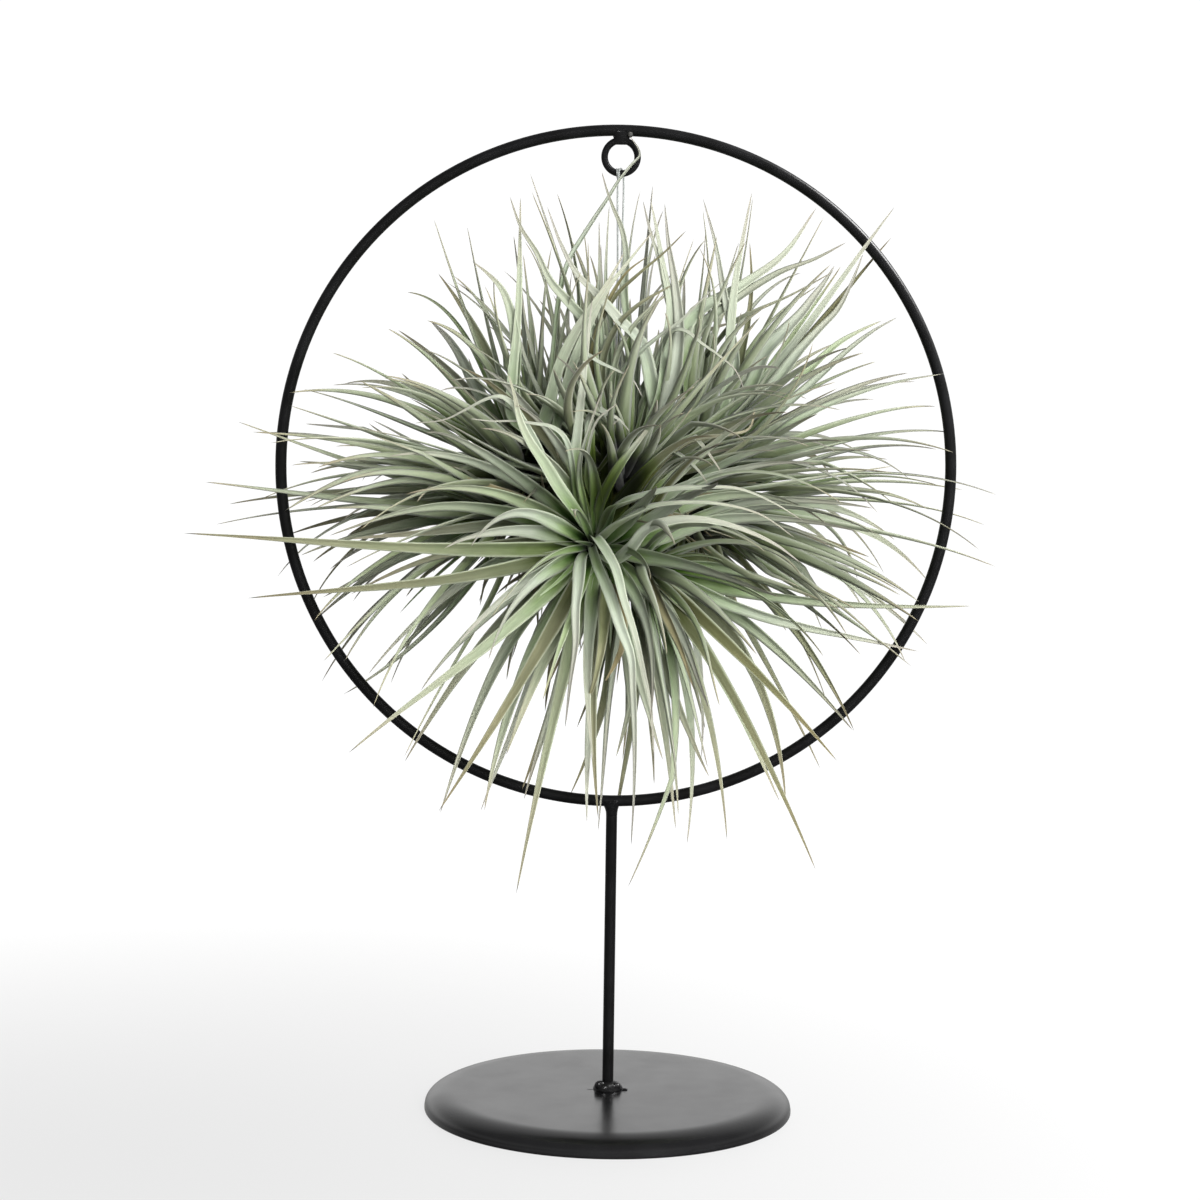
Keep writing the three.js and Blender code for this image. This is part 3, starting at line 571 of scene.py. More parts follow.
def kink(points: np.ndarray, sides: np.ndarray, share: float, fold: float, skew: float) -> None:
    """Bends the far part of a leaf sharply, in place.

    Args:
        points: the middle line.
        sides: the width direction at each point.
        share: how far along the leaf it is bent.
        fold: angle by which it is folded, in radians.
        skew: angle between the fold's line and the width direction, in radians.
    """
    at = round(share * (len(points) - 1))
    ahead = unit(points[at + 1] - points[at - 1])
    axis = unit(sides[at] * math.cos(skew) + cross(ahead, sides[at]) * math.sin(skew))
    turn = np.array(Matrix.Rotation(fold, 3, Vector(axis)))
    points[at + 1:] = points[at] + (points[at + 1:] - points[at]) @ turn.T
    sides[at + 1:] = sides[at + 1:] @ turn.T


class LeafRule:
    """The seeded rule that places the clump's leaves clear of each other.

    Attributes:
        kept: the leaves of each rosette, in the order in which they were placed.
        aside: how far a drawn leaf's tip moves aside at each try.
        turned: how far a grown leaf turns round its axis at each try, in radians.
        closed: share of its opening that it closes by at each try.
        shortened: share of its length that it loses at each try.
    """

    aside: ClassVar[float] = 4
    turned: ClassVar[float] = 0.1
    closed: ClassVar[float] = 0.05
    shortened: ClassVar[float] = 0.03

    def __init__(self) -> None:
        """Sets up what the leaves keep clear of."""
        self.kept: dict[str, list[Leaf]] = {plan.name: [] for plan in PLANS}
        self.eyes = np.array([plan.eye for plan in PLANS])
        self.pushes = np.array([plan.push for plan in PLANS])
        self.count = 0
        self.starts, self.ends = np.zeros((2, MOST_LINES, 3))
        self.radii = np.zeros(MOST_LINES)
        self.owners = np.zeros(MOST_LINES, int)
        self.at_foot = np.ones(MOST_LINES, bool)
        self._add_fixed_obstacles()

    def _add(self, starts: np.ndarray, ends: np.ndarray, radius: float, owner: int,
             at_foot: np.ndarray | bool = True) -> None:
        """Adds short straight lines with a radius to what leaves keep clear of.

        Args:
            starts: where they start.
            ends: where they end.
            radius: their radius.
            owner: the number of the rosette that they belong to, or -1.
            at_foot: which of them are at the foot of a leaf.
        """
        span = slice(self.count, self.count + len(starts))
        self.starts[span], self.ends[span] = starts, ends
        self.radii[span], self.owners[span], self.at_foot[span] = radius, owner, at_foot
        self.count += len(starts)

    def _add_fixed_obstacles(self) -> None:
        """Adds the cores, the stem and the line."""
        nobody = -1
        for index, plan in enumerate(PLANS):
            for (low, low_radius), (high, high_radius) in zip(CORE_PROFILE, CORE_PROFILE[1:]):
                ends = [plan.base + plan.way * CORE_LENGTH * share for share in (low, high)]
                self._add(ends[:1], ends[1:], max(low_radius, high_radius), index)
            bend = branch_points(plan, 4)
            self._add(bend[:-1], bend[1:], BRANCH_RADIUS, nobody)
        wound = RUNNER_RADIUS + SEAT_GAP + 2 * LINE_RADIUS
        left, right = ([(x, 0, RUNNER_DROP)] for x in RUNNER_ENDS)
        self._add(left, right, wound, nobody)
        for way in (-1, 1):
            top = (STRAND_SPREAD * way, OVER_EYELET * way, EYELET_RISE - EYELET.radius)
            self._add([top], [(0.5 * way, ROUND_RUNNER * way, RUNNER_DROP)], LINE_RADIUS, nobody)
        self._add([KNOT], [KNOT + (0, 0, 1)], KNOT_RADIUS, nobody)

    def grow(self, start: np.ndarray, out: np.ndarray, side: np.ndarray, length: float, sideways: float,
             backways: float, droop: float) -> tuple[np.ndarray, np.ndarray]:
        """Grows a leaf's middle line in small steps, turned by the rosettes' push and by its weight.

        Args:
            start: its foot.
            out: its first direction.
            side: its first width direction.
            length: its length.
            sideways: how far it strays along its width.
            backways: how far it strays to its back.
            droop: how far its weight bends it down.

        Returns:
            The points and the width direction at each.
        """
        step = length / GROWTH_STEPS
        point, way, across = start, out, side
        points, sides = [point], [across]
        for k in range(1, GROWTH_STEPS + 1):
            share = k / GROWTH_STEPS
            away = point - self.eyes
            square = (away * away).sum(1) + 30
            want = unit((0, 0, -GRAVITY) + (self.pushes / (square * np.sqrt(square))) @ away)
            want = want + across * (sideways * share) + cross(way, across) * (backways * share)
            want[2] -= droop * share
            way = unit(way + (unit(want) - way) * (step / RELAX))
            across = unit(across - way * (across @ way))
            point = point + way * step
            points.append(point)
            sides.append(across)
        return np.array(points), np.array(sides)

    def _lines(self, leaf: Leaf, stretches: int) -> tuple[np.ndarray, np.ndarray, np.ndarray]:
        """The straight lines along a leaf's solid: starts, ends, and which are at its foot.

        Args:
            leaf: the leaf.
            stretches: straight stretches that its solid has.

        Returns:
            Starts and ends of the lines, and whether each is at the foot.
        """
        stride = (len(leaf.points) - 1) // stretches
        points = leaf.points[::stride]
        across, back = frames_along(points, leaf.sides[::stride], leaf.twist)
        share = np.linspace(0, 1, stretches + 1)
        width = solid_width(share, leaf.width)
        half = across * (width / 2)[:, None]
        keel = points + back * np.maximum(LEAST_KEEL, 0.2 * width)[:, None]
        left, right = points - half, points + half
        rows = np.array((left, right, keel, (left + keel) / 2, (right + keel) / 2))
        at_foot = np.tile(np.arange(stretches) == 0, len(rows))
        return rows[:, :-1].reshape(-1, 3), rows[:, 1:].reshape(-1, 3), at_foot

    def _is_clear(self, starts: np.ndarray, ends: np.ndarray, at_foot: np.ndarray, owner: int) -> bool:
        """Whether lines keep clear of the ring, the eyelet and all that stands already.

        Args:
            starts: where they start.
            ends: where they end.
            at_foot: which are at their leaf's foot.
            owner: the number of their rosette.

        Returns:
            True if nothing is too near.
        """
        share = (np.arange(13) / 12)[:, None, None]
        at = (starts + (ends - starts) * share).reshape(-1, 3)
        for rise, circle in ((0.0, RING), (EYELET_RISE, EYELET)):
            off = np.hypot(at[:, 0], at[:, 2] - rise) - circle.radius
            if np.hypot(off, at[:, 1]).min() < circle.bar + SKIN + CLEARANCE:
                return False
        own = self.owners[:self.count] == owner
        low = np.minimum(starts, ends).min(0) - NEIGHBOUR_REACH
        high = np.maximum(starts, ends).max(0) + NEIGHBOUR_REACH
        p, q = self.starts[:self.count], self.ends[:self.count]
        near = ((np.maximum(p, q) >= low) & (np.minimum(p, q) <= high)).all(1)
        near &= ~(own & self.at_foot[:self.count])
        pick = np.flatnonzero(near)
        if not len(pick):
            return True
        own = own[pick]
        gaps = line_gaps(starts, ends, p[pick], q[pick])
        gaps[np.ix_(at_foot, own)] = np.inf
        least = self.radii[pick] + SKIN + np.where(own, OWN_CLEARANCE, CLEARANCE)
        return bool((gaps >= least).all())

    def _keep(self, index: int, leaf: Leaf, stretches: int) -> bool:
        """Keeps a leaf if it is clear of everything but its own rosette's foot.

        Args:
            index: the number of its rosette.
            leaf: the leaf.
            stretches: straight stretches that its solid has.

        Returns:
            Whether it was kept.
        """
        starts, ends, at_foot = self._lines(leaf, stretches)
        if not self._is_clear(starts, ends, at_foot, index):
            return False
        self._add(starts, ends, SKIN, index, at_foot)
        self.kept[PLANS[index].name].append(leaf)
        return True

    def draw_leaf(self, name: str, tip: Sequence[float], arch: float, width: float) -> None:
        """Places a leaf from its rosette to a given tip, shifted a little if something is in its way.

        Args:
            name: its rosette.
            tip: its tip.
            arch: how far it sets out along the rosette's way, 0 to 1.
            width: its greatest width.
        """
        index = next(i for i, plan in enumerate(PLANS) if plan.name == name)
        plan = PLANS[index]
        span = unit(np.array(tip, float) - plan.eye)
        off = unit(span - plan.way * (span @ plan.way))
        start = plan.eye - plan.way * (CORE_LENGTH * 0.3) + off * FOOT_REACH
        aside = cross(span, plan.way)
        for t in range(TRIES):
            shift = self.aside * ((t + 1) // 2) * (-1 if t % 2 else 1)
            end = np.array(tip, float) + aside * shift
            reach = math.dist(start, end)
            lead = unit((end - start) * ((1 - arch) / reach) + plan.way * arch)
            middle = start + lead * (reach * 0.45)
            points = quadratic(start, middle, end, GROWTH_STEPS)
            leaf = Leaf(points, self._carried_sides(points, start, middle, end, plan.way), width, 0.0)
            if self._keep(index, leaf, 4):
                return

    @staticmethod
    def _carried_sides(points: np.ndarray, start: np.ndarray, middle: np.ndarray, end: np.ndarray,
                       axis: np.ndarray) -> np.ndarray:
        """The width direction along a drawn leaf, carried on from quarter to quarter.

        Args:
            points: its middle line.
            start: its foot.
            middle: the curve's control point.
            end: its tip.
            axis: the rosette's direction.

        Returns:
            The width direction at each point.
        """
        across = unit(cross(axis, end - start))
        quarters = []
        for k in range(5):
            way = unit((middle - start) * (1 - k / 4) + (end - middle) * (k / 4))
            across = unit(across - way * (across @ way))
            quarters.append(across)
        share = np.linspace(0, 4, len(points))
        return np.stack([np.interp(share, range(5), np.array(quarters)[:, i]) for i in range(3)], 1)

    def grow_rosette(self, index: int) -> None:
        """Grows a rosette's leaves round its axis, a golden angle apart, the oldest ones first.

        Args:
            index: the number of the rosette.
        """
        plan = PLANS[index]
        draw = SeededRow(SEED * 1000 + index)
        for i in range(plan.leaves):
            age = (i + 0.5) / plan.leaves
            opening = math.radians(plan.spread) * (1 - age) ** 0.72 + INNERMOST
            around = i * GOLDEN_ANGLE + draw.within(0.3)
            full = (plan.longest + (plan.shortest - plan.longest) * age ** 1.6) * (0.88 + 0.24 * draw())
            width = LEAF_WIDTH + WIDTH_SPREAD * draw()
            twist = draw.within(1.2)
            sideways = draw.within(1.3) * plan.mess
            backways = draw.within(1.1) * plan.mess
            if plan.stance(around, opening)[2][2] < plan.lowest:
                continue
            for t in range(TRIES):
                ease = 1 - t / (TRIES - 1)
                flip = -1 if t % 2 else 1
                radial, side, out = plan.stance(around + flip * self.turned * t,
                                                 opening * (1 - self.closed * t))
                start = plan.eye - plan.way * (CORE_LENGTH * 0.8 * (1 - age)) + radial * FOOT_REACH
                length = full * (1 - self.shortened * t) * (1 - plan.crop * max(0, out[2]))
                points, sides = self.grow(start, out, side, length, sideways * ease * flip,
                                          backways * ease, plan.droop)
                leaf = Leaf(points, sides, width, twist * ease)
                if self._keep(index, leaf, 4 if length > LONG_LEAF else 3):
                    break

    def run(self) -> dict[str, list[Leaf]]:
        """Places the drawn leaves and then grows every rosette.

        Returns:
            The leaves of each rosette by its name.
        """
        for name, arch, leaves in DRAWN_LEAVES:
            for *tip, width in leaves:
                self.draw_leaf(name, tip, arch, width)
        for index in range(len(PLANS)):
            self.grow_rosette(index)
        return self.kept


def line_gaps(p1: np.ndarray, q1: np.ndarray, p2: np.ndarray, q2: np.ndarray) -> np.ndarray:
    """The least distance between each straight line of one set and each of another.

    Args:
        p1: starts of the first set.
        q1: ends of the first set.
        p2: starts of the second set.
        q2: ends of the second set.

    Returns:
        A table with a row for each line of the first set.
    """
    d1, d2 = (q1 - p1)[:, None], (q2 - p2)[None]
    r = p1[:, None] - p2[None]
    a, e, f = (d1 * d1).sum(2), (d2 * d2).sum(2), (d2 * r).sum(2)
    c, b = (d1 * r).sum(2), (d1 * d2).sum(2)
    den = a * e - b * b
    flat = den <= 1e-9
    s = np.where(flat, 0, np.clip((b * f - c * e) / np.where(flat, 1, den), 0, 1))
    t = (b * s + f) / e
    s = np.where(t < 0, np.clip(-c / a, 0, 1), np.where(t > 1, np.clip((b - c) / a, 0, 1), s))
    t = np.clip(t, 0, 1)
    return np.linalg.norm(r + d1 * s[..., None] - d2 * t[..., None], axis=2)


class MeshParts:
    """Vertices, faces and leaf data of several surfaces, gathered for one object."""

    def __init__(self) -> None:
        """Starts with nothing."""
        self.vertices: list[np.ndarray] = []
        self.faces: list[tuple[int, ...]] = []
        self.data: dict[str, list[np.ndarray]] = {}
        self.count = 0

    def add(self, vertices: np.ndarray, faces: Sequence[Sequence[int]],
            **data: np.ndarray | float) -> None:
        """Adds a surface.

        Args:
            vertices: its points, in millimetres.
            faces: its faces as rows of vertex numbers, facing out.
            **data: a number, or a number for each vertex, under each attribute's name.
        """
        self.faces += [tuple(int(i) + self.count for i in face) for face in faces]
        self.vertices.append(vertices)
        for name, value in data.items():
            self.data.setdefault(name, []).append(np.broadcast_to(value, (len(vertices),)))
        self.count += len(vertices)

    def add_rings(self, rings: Sequence[np.ndarray]) -> None:
        """Adds a surface through rings of points, closed by a flat face at both ends.

        Args:
            rings: the points of each ring, in order.
        """
        sides = len(rings[0])
        last = (len(rings) - 1) * sides
        ends = [tuple(range(sides))[::-1], tuple(range(last, last + sides))]
        self.add(np.vstack(rings), grid_faces(len(rings), sides) + ends)

    def measure(self, name: str, rule: Callable[[np.ndarray], np.ndarray]) -> None:
        """Adds an attribute that a rule works out from all the points."""
        self.data[name] = [rule(np.vstack(self.vertices))]

    def make(self, name: str, rise: float = 0.0, smooth: bool = True) -> bpy.types.Object:
        """Makes the object, in metres.

        Args:
            name: its name.
            rise: how far to lift it, in millimetres.
            smooth: whether its shading is smooth.

        Returns:
            The new object, linked to the scene.
        """
        mesh = bpy.data.meshes.new(name)
        points = (np.vstack(self.vertices) + (0, 0, rise)) * MM
        mesh.from_pydata(points.tolist(), [], self.faces)
        for key, rows in self.data.items():
            attribute = mesh.attributes.new(key, "FLOAT", "POINT")
            attribute.data.foreach_set("value", np.concatenate(rows).astype(np.float32))
        mesh.polygons.foreach_set("use_smooth", [smooth] * len(mesh.polygons))
        mesh.update()
        thing = bpy.data.objects.new(name, mesh)
        bpy.context.scene.collection.objects.link(thing)
        return thing


def place(piece: bpy.types.Object, material: bpy.types.Material, slot: str, *nodes: str) -> None:
    """Gives a piece its material and its place in the frame.

    Args:
        piece: the object.
        material: what it is made of.
        slot: the record's material slot; not used.
        *nodes: the solids that it stands for.
    """
    piece.data.materials.append(material)
    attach(piece, BODY)
    if nodes:
        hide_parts(*nodes)
    LOG.info("%s: %d faces", piece.name, len(piece.data.polygons))


def grid_faces(rings: int, sides: int) -> list[tuple[int, ...]]:
    """Faces between closed rings of points.

    Args:
        rings: number of rings.
        sides: number of points in each.

    Returns:
        Four-cornered faces that look out where the rings run anticlockwise, seen from the last one's side.
    """
    return [(i * sides + j, i * sides + (j + 1) % sides, (i + 1) * sides + (j + 1) % sides,
             (i + 1) * sides + j) for i in range(rings - 1) for j in range(sides)]


def lathe(name: str, profile: Sequence[tuple[float, float]], sides: int) -> bpy.types.Object:
    """Turns a profile of radius and height round the stand's middle line.

    Args:
        name: the object's name.
        profile: radius and height, from the bottom up.
        sides: points round it.

    Returns:
        The new object, in the scene.
    """
    angle = circle_angles(sides)
    ring = np.stack((np.cos(angle), np.sin(angle), 0 * angle), 1)
    parts = MeshParts()
    parts.add_rings([ring * radius + (0, 0, height) for radius, height in profile])
    return parts.make(name)


def add_node(tree: bpy.types.NodeTree, kind: str, settings: dict | None = None,
             **links: object) -> bpy.types.Node:
    """Adds a shader node with its settings and links.

    Args:
        tree: the material's or world's node tree.
        kind: the node's type without the ShaderNode in front.
        settings: properties by name; a key that starts with a hash names an input by its number, and
            stops are a ramp's places from 0 to 1, each with its hex colour.
        **links: for each input, with underscores for spaces, a value, a socket or a node.

    Returns:
        The new node.
    """
    node = tree.nodes.new("ShaderNode" + kind)
    for key, value in (settings or {}).items():
        if key == "stops":
            elements = node.color_ramp.elements
            while len(elements) < len(value):
                elements.new(1.0)
            for element, (position, colour) in zip(elements, value):
                element.position, element.color = position, linear(colour)
        elif key.startswith("#"):
            links[key] = value
        else:
            setattr(node, key, value)
    for key, value in links.items():
        socket = node.inputs[int(key[1:])] if key.startswith("#") else node.inputs[key.replace("_", " ")]
        if isinstance(value, bpy.types.Node):
            value = value.outputs[0]
        if isinstance(value, bpy.types.NodeSocket):
            tree.links.new(value, socket)
        else:
            socket.default_value = value
    return node


def blank_material(name: str) -> tuple[bpy.types.Material, bpy.types.NodeTree]:
    """A new material with an empty node tree.

    Args:
        name: the real finish.

    Returns:
        The material and its tree.
    """
    material = bpy.data.materials.new(name)
    material.use_nodes = True
    material.node_tree.nodes.clear()
    return material, material.node_tree


def finish_material(tree: bpy.types.NodeTree, colour: object, bump: object, **values: object) -> None:
    """Adds the surface shader and the output.

    Args:
        tree: the material's node tree.
        colour: the base colour's socket, node or value.
        bump: the bump node.
        **values: the shader's other inputs.
    """
    shader = add_node(tree, "BsdfPrincipled", None, Base_Color=colour, Normal=bump, **values)
    add_node(tree, "OutputMaterial", None, Surface=shader)


@dataclass(frozen=True)
class PowderCoat:
    """Polyester powder coat, sprayed on steel and baked: satin black with a faint orange peel.

    The eye gets an almost black bar whose edge turns grey where it mirrors the pale room.
    """

    name: str = "satin_black_powder_coat"
    black: str = "#090909"
    worn: str = "#101011"
    roughness: float = 0.33
    ior: float = 1.36
    peel_mm: float = 1.6
    cloud_mm: float = 50 / 3

    def make(self) -> bpy.types.Material:
        """Builds the material.

        Returns:
            The new material.
        """
        material, tree = blank_material(self.name)
        where = add_node(tree, "TexCoord").outputs["Object"]
        peel, cloud = (add_node(tree, "TexNoise", None, Vector=where, Scale=1 / (size * MM), Detail=detail)
                       for size, detail in ((self.peel_mm, 3.0), (self.cloud_mm, 4.0)))
        colour = add_node(tree, "ValToRGB", {"#0": cloud, "stops": ((0.35, self.black), (0.75, self.worn))})
        gloss = add_node(tree, "MapRange", None, Value=cloud, From_Min=0.3, From_Max=0.7,
                         To_Min=self.roughness - 0.02, To_Max=self.roughness + 0.03)
        bump = add_node(tree, "Bump", None, Strength=0.05, Distance=0.2 * MM, Height=peel)
        finish_material(tree, colour, bump, Roughness=gloss, IOR=self.ior)
        return material


@dataclass(frozen=True)
class GrainedFinish:
    """A finish whose colour and relief both follow one grain.

    Attributes:
        name: the real finish.
        dark: colour where the grain is low.
        light: colour where it is high.
        grain_mm: size of the grain.
        bump: strength of the relief.
        relief_mm: depth of the relief.
        roughness: how matt it is.
        ior: index of refraction.
        detail: how many finer grains the grain holds.
        harshness: how strong those are.
        tangle: how far the grain is pulled about.
    """

    name: str
    dark: str
    light: str
    grain_mm: float
    bump: float
    relief_mm: float
    roughness: float
    ior: float = 1.5
    detail: float = 2.0
    harshness: float = 0.5
    tangle: float = 0.0

    def make(self) -> bpy.types.Material:
        """Builds the material.

        Returns:
            The new material.
        """
        material, tree = blank_material(self.name)
        grain = add_node(tree, "TexNoise", None, Vector=add_node(tree, "TexCoord").outputs["Object"],
                         Scale=1 / (self.grain_mm * MM), Detail=self.detail, Roughness=self.harshness,
                         Distortion=self.tangle)
        colour = add_node(tree, "ValToRGB", {"#0": grain, "stops": ((0.3, self.dark), (0.7, self.light))})
        bump = add_node(tree, "Bump", None, Strength=self.bump, Distance=self.relief_mm * MM, Height=grain)
        finish_material(tree, colour, bump, Roughness=self.roughness, IOR=self.ior)
        return material


# Nylon monofilament, drawn clear: the eye gets a thin grey thread, not quite even. Its draw marks are
# finer in fact, and are drawn this coarse so that they show.
NYLON_LINE = GrainedFinish("clear_nylon_line", "#6f7371", "#868986", grain_mm=10 / 9, bump=0.02,
                           relief_mm=0.05, roughness=0.35, ior=1.53)
# Old air plant stem, grown and dried: the eye gets brown fibre and the dull stubs of shed sheaths.
WOODY_STEM = GrainedFinish("dry_fibrous_stem", "#3b2c1c", "#8a7354", grain_mm=1.2, bump=0.7,
                           relief_mm=0.6, roughness=0.85, detail=6.0, harshness=0.7, tangle=1.5)


@dataclass(frozen=True)
class SilverLeaf:
    """Leaf of an air plant, grown: green flesh under a felt of flat silver scales.

    The eye gets a matt sage blade, deep green at its foot where the scales are thin, going near black at the
    very foot as painted shade, with a pale margin, a greyer back and a grey tip. Old leaves are olive, and
    dried ones turn to straw and umber. Where leaves crowd the stem they are painted darker, as painted shade.
    The streaks stand for veins. The scales are a few tenths of a millimetre wide in fact, and are
    drawn several times as coarse so that they show.
    """

    name: str = "silver_scaled_leaf"
    # Each ramp runs from a leaf's foot to its tip. Its first stops are near black: painted shade for the foot
    # deep in the rosette, over the deep green that the foot has.
    sage: tuple[tuple[float, str], ...] = (
        (0.0, "#0f1904"), (0.05, "#26400f"), (0.1, "#48612f"), (0.17, "#6c7e55"), (0.27, "#808c74"),
        (0.42, "#878e80"), (0.8, "#85867b"), (0.94, "#807e77"), (1.0, "#7f7b74"),
    )
    fresh: tuple[tuple[float, str], ...] = (
        (0.0, "#142305"), (0.08, "#2f4a10"), (0.2, "#4f6730"), (0.42, "#6b7b55"), (0.75, "#7c846b"),
        (0.93, "#7f7c62"), (1.0, "#6d6247"),
    )
    olive: tuple[tuple[float, str], ...] = (
        (0.0, "#17170a"), (0.12, "#2b2b16"), (0.4, "#414228"), (0.75, "#565439"), (1.0, "#5b5239"),
    )
    back: tuple[tuple[float, str], ...] = (
        (0.0, "#1f210e"), (0.15, "#444d2c"), (0.4, "#667052"), (0.75, "#7a806d"), (1.0, "#7b745d"),
    )
    # Painted shade: multiplies the leaf colour, green-black where leaves crowd the stem and white where they
    # are free
    painted_crowd_shade: tuple[tuple[float, str], ...] = ((0.0, "#161c06"), (0.35, "#75833f"), (0.7, "#c6d3a4"),
                                              (1.0, "#ffffff"))
    margin: str = "#c3c9b8"
    straw: str = "#a99c78"
    umber: str = "#5f4f34"
    streak_mm: tuple[float, float] = (0.55, 9.0)
    patch_mm: tuple[float, float] = (25 / 3, 20.0)
    scale_mm: float = 1.4

    def _leaf_place(self, tree: bpy.types.NodeTree) -> bpy.types.Node:
        """The place on a leaf in millimetres: across it, along it, and a leaf's own number."""
        return add_node(tree, "CombineXYZ", None, **{
            axis: add_node(tree, "Attribute", {"attribute_name": name}).outputs["Fac"]
            for axis, name in (("X", "across_mm"), ("Y", "along_mm"), ("Z", "leaf_row"))})

    def make(self) -> bpy.types.Material:
        """Builds the material.

        Returns:
            The new material.
        """
        material, tree = blank_material(self.name)
        share, tone, warm, dry, under, across, deep = (
            add_node(tree, "Attribute", {"attribute_name": name}).outputs["Fac"]
            for name in ("share", "tone", "warm", "dry", "under", "across", "deep"))
        spot = self._leaf_place(tree)
        streaks, patches = (
            add_node(tree, "TexNoise", None, Scale=1.0, Detail=detail, Roughness=harshness, Vector=add_node(
                tree, "VectorMath", {"operation": "MULTIPLY", "#0": spot, "#1": (1 / wide, 1 / long, row)}))
            for (wide, long), row, detail, harshness in ((self.streak_mm, 5.0, 3.0, 0.6),
                                                         (self.patch_mm, 7.0, 2.0, 0.5)))
        reach = add_node(tree, "Math", {"operation": "ABSOLUTE", "#0": across})
        shift = add_node(tree, "MapRange", None, Value=patches, From_Min=0.25, From_Max=0.75,
                         To_Min=-0.09, To_Max=0.09)
        inner = add_node(tree, "MapRange", None, Value=reach, From_Min=0.0, From_Max=0.8,
                         To_Min=-0.05, To_Max=0.02)
        moved = add_node(tree, "Math", {"operation": "ADD", "#0": shift, "#1": inner})
        along = add_node(tree, "Math", {"operation": "ADD", "#0": share, "#1": moved})
        silver, green, dull, pale = (add_node(tree, "ValToRGB", {"#0": along, "stops": stops})
                                     for stops in (self.sage, self.fresh, self.olive, self.back))
        backed = add_node(tree, "Math", {"operation": "MULTIPLY", "#0": under, "#1": 0.8})
        rim = add_node(tree, "MapRange", None, Value=reach, From_Min=0.7, From_Max=1.0, To_Max=0.3)
        dryness = add_node(tree, "Math", {"operation": "MULTIPLY_ADD", "#0": share, "#1": dry, "#2": dry})
        husk = add_node(tree, "ValToRGB", {"#0": patches, "stops": ((0.35, self.umber), (0.65, self.straw))})
        layered = silver
        for amount, layer in ((tone, green), (warm, dull), (backed, pale), (rim, linear(self.margin)),
                              (dryness, husk)):
            layered = add_node(tree, "Mix", {"data_type": "RGBA", "#0": amount, "#6": layered,
                                             "#7": layer}).outputs[2]
        # Painted shade: the leaf colour is darkened where leaves crowd the stem
        light = add_node(tree, "ValToRGB", {"#0": deep, "stops": self.painted_crowd_shade})
        tinted = add_node(tree, "VectorMath", {"operation": "MULTIPLY", "#0": layered, "#1": light})
        shade = add_node(tree, "MapRange", None, Value=streaks, From_Min=0.25, From_Max=0.75,
                         To_Min=0.86, To_Max=1.1)
        colour = add_node(tree, "VectorMath", {"operation": "SCALE", "#0": tinted}, Scale=shade)
        felt = add_node(tree, "TexNoise", None, Scale=1 / self.scale_mm, Detail=2.0, Vector=spot)
        relief = add_node(tree, "Math", {"operation": "MULTIPLY_ADD", "#0": streaks, "#1": 1.4, "#2": felt})
        bump = add_node(tree, "Bump", None, Strength=0.12, Distance=0.15 * MM, Height=relief)
        finish_material(tree, colour, bump, Roughness=0.6, IOR=1.42, Specular_IOR_Level=0.2,
                        Sheen_Weight=0.08, Sheen_Roughness=0.45)
        return material


# A blade's section: place across it from -1 to 1, depth as a share of the channel, share of the
# thickness below that, and 0 for its face or 1 for its back.
SECTION = np.array((
    (-1.0, 0.0, 0.0, 0.5), (-0.55, 0.52, 0.0, 0.0), (-0.12, 0.93, 0.0, 0.0), (0.12, 0.93, 0.0, 0.0),
    (0.55, 0.52, 0.0, 0.0), (1.0, 0.0, 0.0, 0.5), (0.6, 0.5, 0.8, 1.0), (0.1, 1.0, 1.0, 1.0),
    (-0.1, 1.0, 1.0, 1.0), (-0.6, 0.5, 0.8, 1.0),
))


